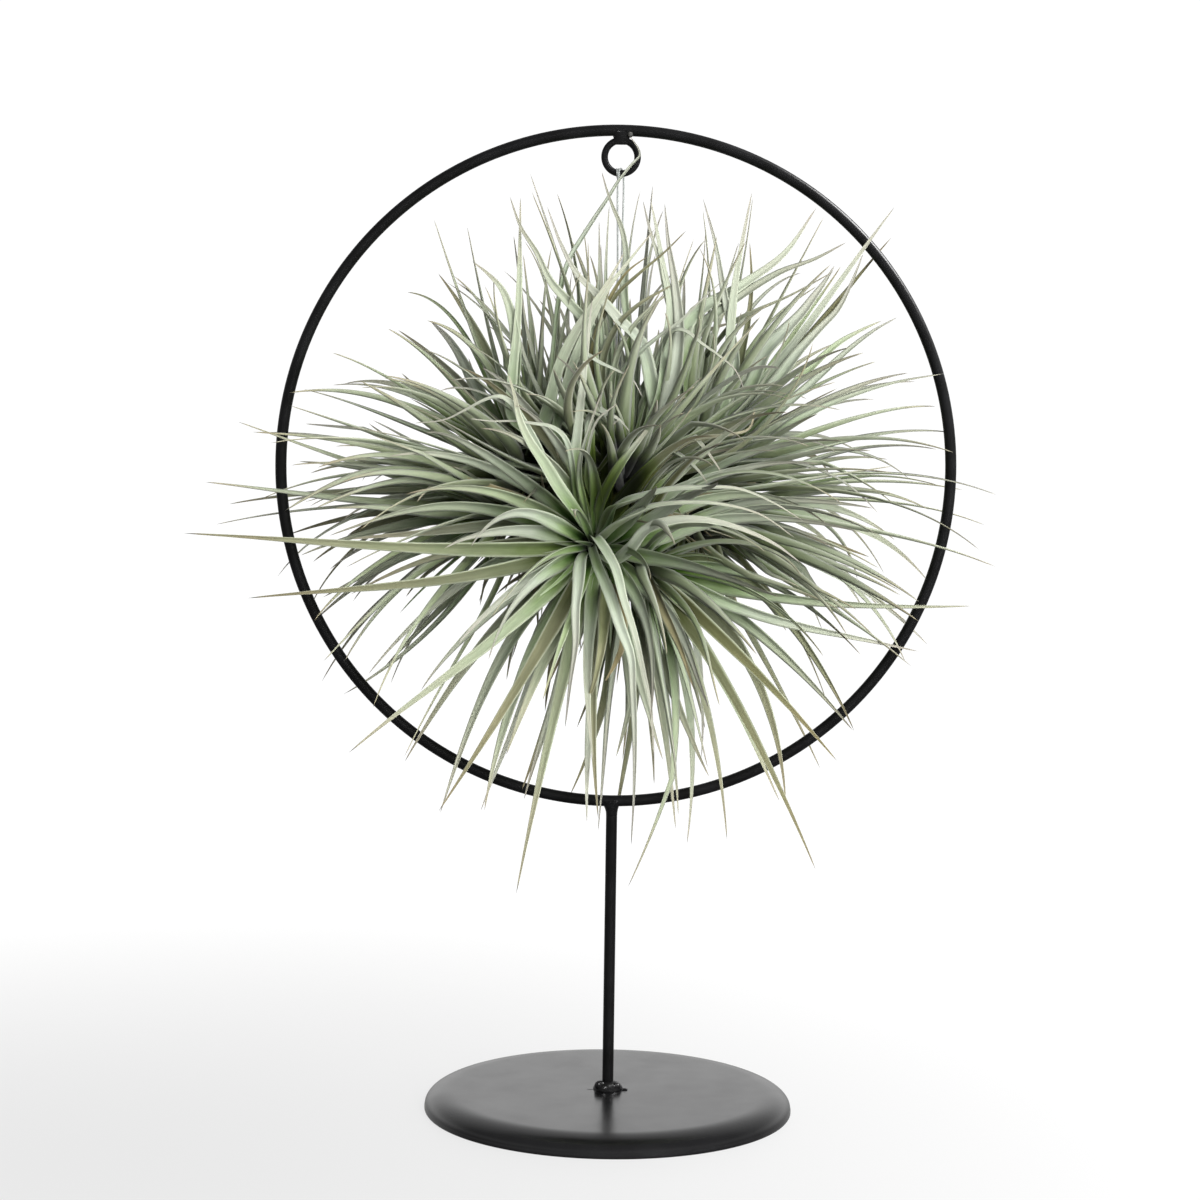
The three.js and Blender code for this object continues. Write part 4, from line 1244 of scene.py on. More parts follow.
def add_blade(parts: MeshParts, leaf: Leaf, row: int, wave: SeededRow) -> None:
    """Adds a leaf as a channelled blade that tapers to a fine point.

    Args:
        parts: where the blade goes.
        leaf: its middle line and form.
        row: the leaf's own number, which its pattern starts from.
        wave: a seeded row for its small irregularities.
    """
    middle = leaf.points[::leaf.stride]
    count = len(middle)
    share = np.linspace(0, 1, count)
    length = np.linalg.norm(np.diff(middle, axis=0), axis=1).sum()
    across, back = frames_along(middle, leaf.sides[::leaf.stride], leaf.twist)
    by_hand = leaf.kind is LeafKind.PLACED
    loose = PLACED_LOOSENESS if by_hand else 1.0
    swing = wave.within(SWAY) * np.sin(2 * math.pi * (share * (0.6 + 0.8 * wave()) + wave())) * loose
    tail = loose * TAIL_SWAY * min(1.0, length / LONG_LEAF) ** 2 * share ** 3
    aside = (swing - swing[0]) * share + wave.within(1) * tail
    points = middle + across * aside[:, None] + back * ((wave() - 0.4) * tail)[:, None]
    points[:, 2] -= loose * TAIL_DROP * share ** 4
    taper = (1 - share ** 1.25) * (0.5 + 0.5 * np.minimum(1, share / 0.24))
    ripple = 1 + 0.04 * np.sin(2 * math.pi * (share * 3 + wave()))
    half = (HAIR_WIDTH + (leaf.width * BLADE_FULLNESS - HAIR_WIDTH) * taper * ripple) / 2
    # The channel is deepest and the flesh thickest at the foot
    channel = 2 * half * (0.40 - 0.22 * share) * (0.7 + 0.6 * wave())
    thick = 0.2 + 0.6 * (1 - share) ** 1.2
    depth = channel[:, None] * SECTION[:, 1] + thick[:, None] * SECTION[:, 2] - (channel * 0.4)[:, None]
    rings = (points[:, None] + across[:, None] * (half[:, None] * SECTION[:, 0])[..., None]
             + back[:, None] * depth[..., None])
    size = len(SECTION)
    tip = (count - 1) * size
    faces = [face[::-1] for face in grid_faces(count - 1, size)]
    faces += [(tip - size + (j + 1) % size, tip - size + j, tip) for j in range(size)]
    faces.append(tuple(range(size)))

    def spread(values: np.ndarray, end: float) -> np.ndarray:
        """Values for every ring's points and one for the tip."""
        return np.append(np.broadcast_to(values, (count - 1, size)).ravel(), end)

    foot = PLACED_FOOT if by_hand else 0.0
    span = YOUNG_SPAN if leaf.kind is LeafKind.YOUNG else 1.0 - foot
    parts.add(np.vstack((rings[:-1].reshape(-1, 3), points[-1:])), faces, tone=leaf.tone, warm=leaf.warm,
              dry=leaf.dry, leaf_row=row * 3.7, share=spread(foot + share[:-1, None] * span, foot + span),
              across=spread(SECTION[:, 0], 0.0), under=spread(SECTION[:, 3], 0.5),
              across_mm=spread(half[:-1, None] * SECTION[:, 0], 0.0),
              along_mm=spread(share[:-1, None] * length, length))


def deep_shade(points: np.ndarray) -> np.ndarray:
    """How light leaves are painted at points: painted shade for the dark between leaves that crowd the stem.

    Args:
        points: the points, from the ring's centre.

    Returns:
        How light each is, from 0 to 1.
    """
    light = np.ones(len(points))
    for centre, reach, least in PAINTED_SHADE_PLACES:
        far = np.linalg.norm((points - np.array(centre)) / np.array(reach), axis=1)
        light = np.minimum(light, least + (1 - least) * np.clip((far - 0.5) / 0.5, 0, 1))
    return light


@dataclass
class Rosette:
    """One rosette: its core, its leaves from the rule, and those added only to be seen.

    Attributes:
        plan: its seat and how it grows.
        leaves: its leaves from the rule.
        strays: number of short leaves that cross the others.
        young: number of young leaves round its eye.
        old: number of old leaves round its foot.
        kinked: share of its leaves from the rule that are kinked.
        strays_kinked: share of its strays that are kinked.
        parts: its surfaces.
    """

    plan: RosettePlan
    leaves: list[Leaf]
    strays: int = 0
    young: int = 6
    old: int = 16
    kinked: float = 0.05
    strays_kinked: float = 0.3
    parts: MeshParts = field(default_factory=MeshParts)

    def _young_leaves(self, draw: SeededRow, rule: LeafRule) -> Iterator[Leaf]:
        """The young leaves that stand close round the eye.

        Args:
            draw: the row that varies them.
            rule: the rule that bends them.

        Returns:
            The leaves, one after another.
        """
        plan = self.plan
        for i in range(self.young):
            age = (i + 0.5) / self.young
            opening = math.radians(9 + 24 * (1 - age) ** 0.8)
            radial, side, out = plan.stance((plan.leaves + i) * GOLDEN_ANGLE, opening)
            start = plan.eye - plan.way * (4 - 5 * age) + radial * (3.4 - 2.6 * age)
            length = (58 - 42 * age) * (0.85 + 0.3 * draw())
            points, sides = rule.grow(start, out, side, length, draw.within(0.9), draw.within(0.7), 0.0)
            yield Leaf(points, sides, 1.4 + 0.034 * length, draw.within(0.6), LeafKind.YOUNG,
                       tone=0.45 + 0.5 * draw(), stride=2)

    def _old_leaves(self, draw: SeededRow, rule: LeafRule) -> Iterator[Leaf]:
        """Old leaves round the foot, dull and bent back, that hide the stem.

        Args:
            draw: the row that varies them.
            rule: the rule that bends them.

        Returns:
            The leaves, one after another.
        """
        plan = self.plan
        for i in range(self.old):
            radial, side, out = plan.stance(i * GOLDEN_ANGLE + draw(), math.radians(78 + 44 * draw()))
            start = plan.base + plan.way * (1 + 6 * draw()) + radial * 5
            points, sides = rule.grow(start, out, side, 34 + 38 * draw(), draw.within(1.5),
                                      draw.within(1.2), 0.3)
            yield Leaf(points, sides, 5 + 3 * draw(), draw.within(1.5), LeafKind.OLD, tone=0.3 * draw(),
                       warm=0.5 + 0.5 * draw(), dry=0.3 * draw(), stride=2)

    def _stray_leaves(self, draw: SeededRow, rule: LeafRule) -> Iterator[Leaf]:
        """Short narrow leaves that cross the others, some of them kinked.

        Args:
            draw: the row that varies them.
            rule: the rule that bends them.

        Returns:
            The leaves, one after another.
        """
        plan = self.plan
        for i in range(self.strays):
            turn = i * GOLDEN_ANGLE * 1.3 + draw()
            radial, side, out = plan.stance(turn, math.radians(8 + 60 * draw()))
            start = plan.eye - plan.way * (8 * draw()) + radial * (4 + 14 * draw())
            out = unit(out + side * draw.within(1.5))
            points, sides = rule.grow(start, out, side, 46 + 62 * draw(), draw.within(2.4),
                                      draw.within(1.8), 0.2 * draw())
            if draw() < self.strays_kinked:
                kink(points, sides, 0.4 + 0.4 * draw(), draw.within(2.4), draw.within(1.2))
            yield Leaf(points, sides, 3.2 + 3.2 * draw(), draw.within(2), LeafKind.STRAY,
                       tone=0.4 * draw(), warm=0.2 * draw(), stride=2)

    def _age_leaves(self, draw: SeededRow) -> None:
        """Gives the leaves from the rule their colours, and bends a few of them sharply.

        Args:
            draw: the row that varies them.
        """
        for place_in_age, leaf in enumerate(self.leaves):
            youth = place_in_age / len(self.leaves)
            leaf.tone = 0.65 * draw() ** 1.6
            hanging = 0.12 if leaf.points[-1, 2] < -80 else 0.0
            aged = draw() < 0.62 - 0.8 * youth + hanging
            leaf.warm = 0.5 + 0.5 * draw() if aged else 0.25 * draw() ** 2
            leaf.dry = 0.5 * max(0.0, draw() - 0.88)
            if youth > 0.92:
                leaf.tone, leaf.warm, leaf.width = 1.0, 0.0, leaf.width * 0.6
            if draw() < self.kinked:
                kink(leaf.points, leaf.sides, 0.6 + 0.25 * draw(), draw.within(1.3), draw.within(1))

    def _add_core(self) -> None:
        """Adds the core that the leaves are sheathed round."""
        profile = np.array([(share * CORE_LENGTH, radius * 0.86) for share, radius in CORE_PROFILE])
        profile = np.vstack(((0, 0.01), profile, (CORE_LENGTH + 1.5, 0.01)))
        sides = 24
        angle = circle_angles(sides)[:, None]
        first, second = self.plan.square
        ring = np.cos(angle) * first + np.sin(angle) * second
        rings = self.plan.base + profile[:, :1, None] * self.plan.way + profile[:, 1:, None] * ring
        vertices = rings.reshape(-1, 3)
        self.parts.add(vertices, grid_faces(len(profile), sides), share=0.03, across=0.0, under=0.3,
                       tone=0.6, warm=0.5, dry=0.0, leaf_row=0.0, across_mm=vertices[:, 0],
                       along_mm=vertices[:, 2])

    def build(self, rule: LeafRule) -> bpy.types.Object:
        """Builds the rosette's mesh.

        Args:
            rule: the rule, which turns the added leaves as it turned the others.

        Returns:
            The new object.
        """
        draw = SeededRow(SEED * 7000 + PLANS.index(self.plan))
        self._add_core()
        self._age_leaves(draw)
        leaves = [*self.leaves, *self._young_leaves(draw, rule), *self._stray_leaves(draw, rule),
                  *self._old_leaves(draw, rule)]
        leaves += [placed.leaf() for placed in PLACED_LEAVES.get(self.plan.name, ())]
        for row, leaf in enumerate(leaves):
            add_blade(self.parts, leaf, row, draw)
        LOG.info("rosette %s: %d leaves by the rule, %d in all", self.plan.name, len(self.leaves),
                 len(leaves))
        # Painted shade: leaves are marked darker where they crowd the stem
        self.parts.measure("deep", deep_shade)
        return self.parts.make(f"rosette_{self.plan.name}", RING.centre_z)


@dataclass
class Clump:
    """The plant: its rosettes on their stem."""

    leaf: SilverLeaf = field(default_factory=SilverLeaf)
    bark: GrainedFinish = WOODY_STEM
    strays: dict[str, int] = field(default_factory=lambda: {"top": 56, "upper_right": 10, "upper_left": 10,
                                                            "left": 6, "right": 8, "back": 10})

    def build(self) -> None:
        """Builds and dresses every piece of the plant."""
        rule = LeafRule()
        kept = rule.run()
        material = self.leaf.make()
        for plan in PLANS:
            rosette = Rosette(plan, kept[plan.name], self.strays.get(plan.name, 0))
            place(rosette.build(rule), material, "silver_leaf", plan.node)
        self._build_stem()

    def _build_stem(self) -> None:
        """Builds the runner and the branches as knotty tubes."""
        parts = MeshParts()
        left, right = RUNNER_ENDS
        bends = ((left, 0, 1), (left / 2, 0.6, -0.6), (0, 0, 0), (right / 2, 0.6, 0.6), (right, 0, -0.6))
        runner = smooth_route([(x, y, RUNNER_DROP + z) for x, y, z in bends], 6)
        add_tube(parts, runner, RUNNER_RADIUS * 0.94, 16, rough=0.05)
        for plan in PLANS:
            add_tube(parts, branch_points(plan, 14), BRANCH_RADIUS * 0.94, 14, rough=0.06)
        place(parts.make("woody_stem", RING.centre_z), self.bark.make(), "bark", "clump_stem")


def smooth_route(points: Sequence[Sequence[float]], steps: int) -> np.ndarray:
    """A smooth curve through points.

    Args:
        points: the points, in order.
        steps: steps from each point to the next.

    Returns:
        The points of the curve.
    """
    given = np.array(points, float)
    padded = np.vstack((2 * given[0] - given[1], given, 2 * given[-1] - given[-2]))
    out = []
    for a, b, c, d in zip(padded, padded[1:], padded[2:], padded[3:]):
        t0, t1, t2, t3 = np.cumsum([0] + [math.dist(p, q) ** 0.5 for p, q in ((a, b), (b, c), (c, d))])
        for t in np.linspace(t1, t2, steps, endpoint=False):
            ab = (a * (t1 - t) + b * (t - t0)) / (t1 - t0)
            bc = (b * (t2 - t) + c * (t - t1)) / (t2 - t1)
            cd = (c * (t3 - t) + d * (t - t2)) / (t3 - t2)
            low = (ab * (t2 - t) + bc * (t - t0)) / (t2 - t0)
            high = (bc * (t3 - t) + cd * (t - t1)) / (t3 - t1)
            out.append((low * (t2 - t) + high * (t - t1)) / (t2 - t1))
    return np.array(out + [given[-1]])


def add_tube(parts: MeshParts, path: np.ndarray, radius: float, sides: int, rough: float = 0.0) -> None:
    """Adds a round tube along a path, closed at both ends.

    Args:
        parts: where the tube goes.
        path: the middle line.
        radius: the tube's radius.
        sides: points round it.
        rough: how uneven it is, as a share of the radius.
    """
    ahead = np.gradient(path, axis=0)
    ahead /= np.linalg.norm(ahead, axis=1)[:, None]
    across = unit(cross(ahead[0], np.array((0.31, 0.17, 0.93))))
    angle = circle_angles(sides)
    rings = []
    for k, (point, way) in enumerate(zip(path, ahead)):
        across = unit(across - way * (across @ way))
        other = cross(way, across)
        swell = 1 + rough * (np.sin(3 * angle + k * 1.3) + np.sin(5 * angle - k * 0.9) + math.sin(k * 1.7))
        ring = np.cos(angle)[:, None] * across + np.sin(angle)[:, None] * other
        rings.append(point + ring * (radius * swell)[:, None])
    parts.add_rings(rings)


@dataclass
class HangingLine:
    """The clear line: over the eyelet, down to the stem, and tied in front of it."""

    sides: int = 12
    turns: int = 2
    nylon: GrainedFinish = NYLON_LINE

    def _route(self) -> list[tuple[float, float, float]]:
        """The points that the line runs through, as in the source of the solids.

        Returns:
            The points, from the ring's centre, from the knot and back to it.
        """
        low = EYELET_RISE - EYELET.radius

        def half_turn(radius: float, z: float, count: int, up: int) -> list[tuple[float, float]]:
            """The y and z of points on half a circle."""
            angles = [math.pi * k / (count - 1) for k in range(count)]
            return [(-up * radius * math.cos(a), z + up * radius * math.sin(a)) for a in angles]

        def strand(way: int) -> list[tuple[float, float, float]]:
            """Three points on a strand between the runner and the eyelet."""
            return [(way * (0.5 + (STRAND_SPREAD - 0.5) * s),
                     way * (ROUND_RUNNER * (1 - s) + OVER_EYELET * s),
                     RUNNER_DROP * (1 - s) + low * s) for s in (0.25, 0.5, 0.75)]

        over = [(STRAND_SPREAD * (k / 2 - 1), y, z)
                for k, (y, z) in enumerate(half_turn(OVER_EYELET, low, 5, 1))]
        under = [(0.5 - k / 6, y, z)
                 for k, (y, z) in enumerate(half_turn(ROUND_RUNNER, RUNNER_DROP, 7, -1))]
        return [tuple(KNOT), *strand(-1), *over, *strand(1)[::-1], *under, tuple(KNOT - (0, 0, 0.8))]

    def build(self) -> None:
        """Builds the line with its knot and its turns on the eyelet."""
        wrap = EYELET.bar + LINE_RADIUS + 0.05
        wound = np.linspace(0, 2 * math.pi * self.turns, 60)
        coil = np.stack((-2.1 + wound / (4 * math.pi) * 1.7, wrap * np.cos(wound),
                         EYELET_RISE - EYELET.radius + wrap * np.sin(wound)), 1)
        around = np.linspace(0, 2 * math.pi, 72)
        knot = np.stack((np.sin(around) + 2 * np.sin(2 * around), -np.sin(3 * around),
                         np.cos(around) - 2 * np.cos(2 * around)), 1) * 0.42 + KNOT
        parts = MeshParts()
        for path, radius in ((smooth_route(self._route(), 12), LINE_RADIUS), (coil, LINE_RADIUS * 0.9),
                             (knot, LINE_RADIUS)):
            add_tube(parts, path, radius, self.sides)
        place(parts.make("hanging_line_fine", RING.centre_z), self.nylon.make(), "clear_line",
              "hanging_line")


@dataclass
class RingStand:
    """The stand: floor plate, rod, ring, eyelet and the welds between them.

    Attributes:
        coat: the black finish of the bars.
        plate_coat: the same finish on the plate, where a thicker coat gives a little more gloss.
        weld_coat: the same coat over a weld, where it flows together and shines more.
        spatter_coat: a grey coat, lighter than the bars, on a drop of weld spatter.
        shoulder: width of the plate's rounded shoulder.
        roundness: power of the shoulder's curve, 2 for an oval and more for a later, tighter bend.
        lip: height of the lip at the plate's edge.
        bevel: how far the plate's top edge stands back from its lip.
        sections: number of sections in a weld.
        bright: the pieces that have a bright line or spot on them.
    """

    coat: PowderCoat = PowderCoat()
    plate_coat: PowderCoat = PowderCoat(name="satin_black_powder_coat_on_plate", black="#0c0c0d",
                                        worn="#121213", roughness=0.24, ior=1.8)
    weld_coat: PowderCoat = PowderCoat(name="black_powder_coat_over_weld", roughness=0.26, peel_mm=2.4)
    spatter_coat: PowderCoat = PowderCoat(name="grey_coat_over_spatter", black="#1d1d1c",
                                          worn="#5a5955", roughness=0.5, peel_mm=0.7)
    shoulder: float = 13.0
    roundness: float = 2.2
    lip: float = 1.8
    bevel: float = 0.12
    sections: int = 16
    bright: ClassVar[tuple[str, ...]] = ("ring_bar", "eyelet_wire", "foot_weld_bead", "ring_weld_bead",
                                         "eyelet_weld_bead", "spatter")

    def build(self) -> None:
        """Builds and dresses every piece of the stand."""
        coat, weld = self.coat.make(), self.weld_coat.make()
        for piece, material, *nodes in (
                (self._plate(), self.plate_coat.make(), "base_disc"),
                (self._rod(), coat, "upright_rod"),
                (self._circle("ring_bar", RING, 240, 24), coat, "hoop_ring"),
                (self._circle("eyelet_wire", EYELET, 72, 20), coat, "hanging_eyelet"),
                (self._foot_weld(), weld, "foot_weld"),
                (self._ring_weld(), weld, "ring_weld"),
                (self._eyelet_weld(), weld, "eyelet_weld"),
                (self._spatter(), self.spatter_coat.make())):
            place(piece, material, "black_coat", *nodes)

    def _plate(self) -> bpy.types.Object:
        """The floor plate, with its flat top, rounded shoulder and thin lip.

        Returns:
            The new object, in the scene.
        """
        low, high = node_box("base_disc")
        radius, height = high[0], high[2]
        profile = [(radius - 0.8, low[2]), (radius - 0.25, 0.12), (radius, 0.5), (radius, self.lip - 0.25),
                   (radius - self.bevel, self.lip)]
        for angle in np.linspace(0, math.pi / 2 - 1e-9, 22)[1:]:
            across, up = (turn(angle) ** (2 / self.roundness) for turn in (math.cos, math.sin))
            profile.append((radius - self.bevel - (self.shoulder - self.bevel) * (1 - max(0.0, across)),
                            self.lip + (height - self.lip) * up))
        profile += [(radius * share, height) for share in (0.7, 0.4, 0.12)]
        return lathe("floor_plate", profile, 160)

    def _rod(self) -> bpy.types.Object:
        """The upright, from the plate up into the weld under the ring.

        Returns:
            The new object, in the scene.
        """
        low, high = node_box("upright_rod")
        heights = np.linspace(low[2], high[2] + SEAT_GAP, 24)
        return lathe("upright", [(high[0], z) for z in heights], 40)

    @staticmethod
    def _circle(name: str, circle: Circle, around: int, sides: int) -> bpy.types.Object:
        """A bar bent to a circle.

        Args:
            name: the object's name.
            circle: its size and height.
            around: points along the bar.
            sides: points round it.

        Returns:
            The new object, in the scene.
        """
        turn = circle_angles(around)[:, None]
        angle = circle_angles(sides)[None]
        reach = circle.radius + circle.bar * np.cos(angle)
        points = np.stack((reach * np.cos(turn), circle.bar * np.sin(angle) + 0 * turn,
                           circle.centre_z + reach * np.sin(turn)), 2)
        faces = [(i * sides + (j + 1) % sides, (i + 1) % around * sides + (j + 1) % sides,
                  (i + 1) % around * sides + j, i * sides + j) for i in range(around) for j in range(sides)]
        parts = MeshParts()
        parts.add(points.reshape(-1, 3), faces)
        return parts.make(name)

    @staticmethod
    def _loft(parts: MeshParts, rows: Sequence[tuple[float, float, float, float]], lump: float,
              deep: float = 0.0) -> None:
        """Adds a lumpy closed blob made of oval sections.

        Args:
            parts: where the blob goes.
            rows: height, half width, half depth and shift to the right of each section.
            lump: how uneven it is.
            deep: shift to the back.
        """
        angle = circle_angles(48)
        rings = []
        for k, (z, x, y, shift) in enumerate(rows):
            swell = 1 + lump * (np.sin(3 * angle + 0.6 + k * 0.12) + 0.6 * np.sin(5 * angle - k * 0.2)
                                + 0.3 * np.sin(9 * angle + k * 0.4))
            rings.append(np.stack((shift + x * swell * np.cos(angle), deep + y * swell * np.sin(angle),
                                   z + 0 * angle), 1))
        parts.add_rings(rings)

    def _drop(self, parts: MeshParts, centre: tuple[float, float, float],
              half: tuple[float, float, float]) -> None:
        """Adds a drop of weld metal: an oval blob with a centre and half sizes.

        Args:
            parts: where the drop goes.
            centre: its middle.
            half: its half width, depth and height.
        """
        turns = np.linspace(-math.pi / 2 + 0.1, math.pi / 2 - 0.1, 11)
        rows = [(centre[2] + half[2] * math.sin(t), half[0] * math.cos(t), half[1] * math.cos(t), centre[0])
                for t in turns]
        self._loft(parts, rows, 0.04, centre[1])

    def _foot_weld(self) -> bpy.types.Object:
        """The lumpy collar of weld round the rod's foot, with a spur where the bead was drawn off.

        Returns:
            The new object, in the scene.
        """
        low, high = node_box("foot_weld")
        bar = node_box("upright_rod")[1][0]
        height, reach = high[2] - low[2], high[0] * 0.97
        parts = MeshParts()
        rows = []
        for share in np.linspace(0, 1, self.sections):
            out = bar + (reach - bar) * math.sqrt(1 - share ** 2)
            rows.append((low[2] + height * share, out, out * 0.96, 0.0))
        self._loft(parts, rows, 0.04)
        for (x, y, rise), half in (((-3.5, -2.4, 2.2), (2.6, 2.4, 2.3)), ((3.4, -2.4, 1.8), (2.3, 2.2, 1.9)),
                                   ((-0.2, -4.2, 1.0), (1.8, 1.7, 1.4)), ((7.0, -1.2, 0.3), (1.9, 0.6, 0.5)),
                                   ((-7.4, -0.8, 0.0), (2.0, 0.3, 0.12))):
            self._drop(parts, (x, y, low[2] + rise), half)
        return parts.make("foot_weld_bead")

    def _ring_weld(self) -> bpy.types.Object:
        """The fillet that spreads from the rod along the underside of the ring.

        Returns:
            The new object, in the scene.
        """
        low, high = node_box("ring_weld")
        bar = node_box("upright_rod")[1][0]
        rows = []
        for share in np.linspace(0, 1, self.sections):
            flare = share ** 2.2
            rows.append((low[2] + (high[2] - low[2] - 0.6) * share,
                         bar + 0.02 + (high[0] - bar - 0.4) * flare, bar + 0.02 + 0.85 * share,
                         -0.5 * flare))
        parts = MeshParts()
        self._loft(parts, rows, 0.012)
        self._drop(parts, (1.4, -1.9, high[2] - 0.4), (1.3, 0.9, 0.8))
        return parts.make("ring_weld_bead")

    def _eyelet_weld(self) -> bpy.types.Object:
        """The neck of weld between the ring and the eyelet, wider at both ends.

        Returns:
            The new object, in the scene.
        """
        low, high = node_box("eyelet_weld")
        waist, wide = 3.5, 4.7
        rows = []
        for share in np.linspace(0, 1, self.sections):
            flare = (2 * abs(share - 0.42)) ** 1.8
            rows.append((low[2] + 0.3 + (high[2] - low[2] + 0.2) * share, waist + (wide - waist) * flare,
                         2.0 + 0.6 * share, 0.12 * math.sin(5 * share)))
        parts = MeshParts()
        self._loft(parts, rows, 0.015)
        return parts.make("eyelet_weld_bead")

    def _spatter(self) -> bpy.types.Object:
        """A drop of weld spatter on the front of the ring, up beside the eyelet's weld.

        Returns:
            The new object, in the scene.
        """
        parts = MeshParts()
        self._drop(parts, (3.8, -1.9, RING.centre_z + RING.radius - 1.9), (1.2, 0.9, 1.4))
        return parts.make("spatter")


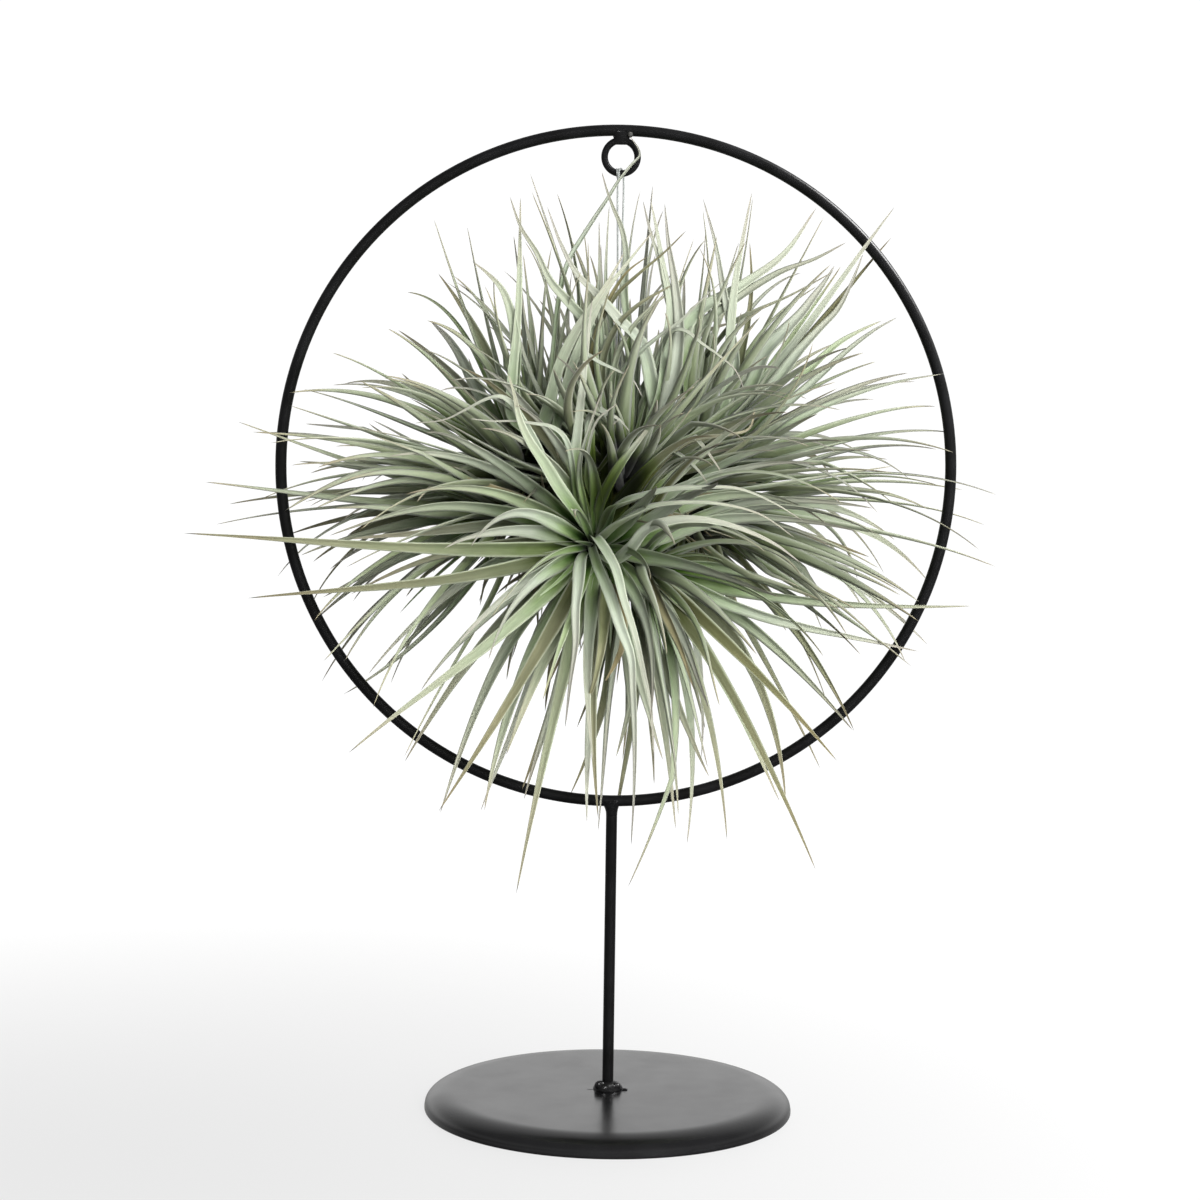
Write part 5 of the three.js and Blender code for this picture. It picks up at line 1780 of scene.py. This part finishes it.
@dataclass(frozen=True)
class Studio:
    """A plain pale floor and backdrop, soft light and the camera. Lamps are set out in metres.

    Attributes:
        eye: where the camera stands, in millimetres.
        aim: what it looks at.
        roll: its tilt about the line of sight, in radians.
        lens: focal length in millimetres on the sensor below.
        sensor: the sensor's width in millimetres.
        floor: radius of the floor.
        dome: radius of the backdrop.
        lit: what the lamps look at, in metres.
    """

    eye: tuple[float, float, float] = (-30.0, -1200.0, 326.0)
    aim: tuple[float, float, float] = (-6.5, 0.0, 228.5)
    roll: float = 0.014
    lens: float = 81.744
    sensor: float = 36.0
    floor: ClassVar[float] = 1400.0
    dome: ClassVar[float] = 4000.0
    lit: ClassVar[tuple[float, float, float]] = (0.0, 0.0, 0.27)

    def build(self) -> None:
        """Builds the camera, the floor, the lights and the room's light."""
        self._camera()
        self._floor()
        self._backdrop()
        self._world()
        self._light("key", (0.6, -1.9, 1.25), 1.6, 82.0)
        self._light("front", (0.8, -2.1, 0.2), 2.0, 66.0)
        self._light("right", (1.3, -1.2, 0.15), 1.0, 28.0)
        bpy.context.scene.view_settings.view_transform = "Standard"

    def _camera(self) -> None:
        """The camera, at the angle that the stand is seen from."""
        eye, aim = np.array(self.eye), np.array(self.aim)
        ahead = unit(aim - eye)
        right = unit(cross(ahead, np.array((0.0, 0.0, 1.0))))
        up = cross(right, ahead)
        turned = right * math.cos(self.roll) + up * math.sin(self.roll)
        upright = up * math.cos(self.roll) - right * math.sin(self.roll)
        data = bpy.data.cameras.new("camera")
        data.lens, data.sensor_width = self.lens, self.sensor
        camera = bpy.data.objects.new("camera", data)
        columns = Matrix((turned, upright, -ahead)).transposed()
        camera.matrix_world = Matrix.Translation(Vector(eye * MM)) @ columns.to_4x4()
        bpy.context.scene.collection.objects.link(camera)
        bpy.context.scene.camera = camera

    def _floor(self) -> None:
        """A round pale floor just under the plate, whitest at its edge. Its glow is dimmer near the plate, to
        its left and front, as a painted shadow, beside the real shadows that the lamps cast on it.
        """
        sides = 96
        angle = circle_angles(sides)
        parts = MeshParts()
        parts.add(np.stack((np.cos(angle), np.sin(angle), 0 * angle), 1) * self.floor - (0, 0, 0.05),
                  [tuple(range(sides))])
        floor = parts.make("pale_floor", smooth=False)
        material, tree = blank_material("pale_floor_with_painted_shadow")
        where = add_node(tree, "TexCoord").outputs["Object"]
        grain = add_node(tree, "TexNoise", None, Vector=where, Scale=40.0)
        # Painted shadow: the glow is dimmest round a point left of and in front of the plate
        away = add_node(tree, "VectorMath", {"operation": "ADD", "#0": where, "#1": (0.22, 0.1, 0.0)})
        far = add_node(tree, "VectorMath", {"operation": "LENGTH", "#0": away}).outputs["Value"]
        out_of_painted_shadow = add_node(tree, "MapRange", {"interpolation_type": "SMOOTHSTEP"}, Value=far, From_Min=0.0,
                          From_Max=0.75)
        glow = add_node(tree, "MapRange", None, Value=out_of_painted_shadow, To_Min=0.71, To_Max=1.0)
        bump = add_node(tree, "Bump", None, Strength=0.02, Distance=0.1 * MM, Height=grain)
        finish_material(tree, linear("#484848"), bump, Roughness=0.7, Emission_Color=linear("#ffffff"),
                        Emission_Strength=glow)
        floor.data.materials.append(material)
        floor.visible_diffuse = floor.visible_glossy = False
        floor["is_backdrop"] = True

    def _backdrop(self) -> None:
        """A white dome round everything, which only the camera sees."""
        turns = np.linspace(-math.pi / 2, math.pi / 2, 24)
        dome = lathe("white_backdrop", [(0.01 + self.dome * math.cos(t), self.dome * math.sin(t))
                                        for t in turns], 48)
        material, tree = blank_material("plain_white_backdrop")
        white = add_node(tree, "Emission", None, Color=linear("#ffffff"), Strength=1.05)
        add_node(tree, "OutputMaterial", None, Surface=white)
        dome.data.materials.append(material)
        dome.visible_diffuse = dome.visible_glossy = dome.visible_transmission = dome.visible_shadow = False
        dome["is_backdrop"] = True

    @staticmethod
    def _world() -> None:
        """The room's light, brightest low at the back and dim on the side that the camera stands on."""
        world = bpy.data.worlds.new("white_room")
        world.use_nodes = True
        tree = world.node_tree
        tree.nodes.clear()
        way = add_node(tree, "TexCoord").outputs["Generated"]
        split = add_node(tree, "SeparateXYZ", None, Vector=way)
        level = 1.0
        for axis, near, far, first, last in (("Y", 0.2, 0.95, 0.26, 1.24), ("Z", 0.2, 0.5, 1.0, 0.45),
                                             ("Z", -0.1, 0.26, 0.4, 1.0)):
            part = add_node(tree, "MapRange", None, Value=split.outputs[axis], From_Min=near, From_Max=far,
                            To_Min=first, To_Max=last)
            level = add_node(tree, "Math", {"operation": "MULTIPLY", "#0": level, "#1": part})
        glow = add_node(tree, "Background", None, Color=linear("#ffffff"), Strength=level)
        add_node(tree, "OutputWorld", None, Surface=glow)
        bpy.context.scene.world = world

    @classmethod
    def light_some(cls, bars: Sequence[bpy.types.Object], leaves: Sequence[bpy.types.Object]) -> None:
        """Adds two small lamps that only bars and welds mirror, and one behind that lights only leaves.

        Args:
            bars: the bars and welds that have a bright line or spot on them.
            leaves: the rosettes, whose far side the other lamps don't reach.
        """
        for name, spot, size, power, lit in (
                ("window", (1.05, 0.0, 1.25), 0.55, 34.0, bars),
                ("softbox", (-0.3, -1.2, 1.5), 0.4, 22.0, [bar for bar in bars if "weld" in bar.name]),
                ("behind", (-1.4, 1.7, 0.6), 2.0, 78.0, leaves)):
            lamp = cls._light(name, spot, size, power)
            lamp.visible_glossy = lit is not leaves
            lamp.light_linking.receiver_collection = bpy.data.collections.new(f"lit_by_{name}")
            for piece in lit:
                lamp.light_linking.receiver_collection.objects.link(piece)

    @classmethod
    def _light(cls, name: str, spot: tuple[float, float, float], size: float,
               power: float) -> bpy.types.Object:
        """A round soft lamp that looks at the clump and leaves no glint.

        Args:
            name: its name.
            spot: where it is, in metres.
            size: its width, in metres.
            power: its power, in watts.

        Returns:
            The lamp.
        """
        data = bpy.data.lights.new(name, "AREA")
        data.shape, data.size, data.energy = "DISK", size, power
        lamp = bpy.data.objects.new(name, data)
        lamp.location = spot
        lamp.visible_glossy = False
        lamp.rotation_euler = (Vector(cls.lit) - Vector(spot)).to_track_quat("-Z", "Y").to_euler()
        bpy.context.scene.collection.objects.link(lamp)
        return lamp


def main() -> None:
    """Builds the studio, the stand, the line and the plant."""
    logging.basicConfig(level=logging.INFO, format="%(name)s %(message)s")
    for build in (Studio().build, RingStand().build, HangingLine().build, Clump().build):
        build()
    Studio.light_some([bpy.data.objects[name] for name in RingStand.bright],
                      [piece for piece in bpy.data.objects if piece.name.startswith("rosette_")])
    sizes = {"cad": CAD_BOX, "visual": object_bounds()}
    {key: [[float(v) for v in corner] for corner in box] for key, box in sizes.items()}


if __name__ == "__main__":
    main()
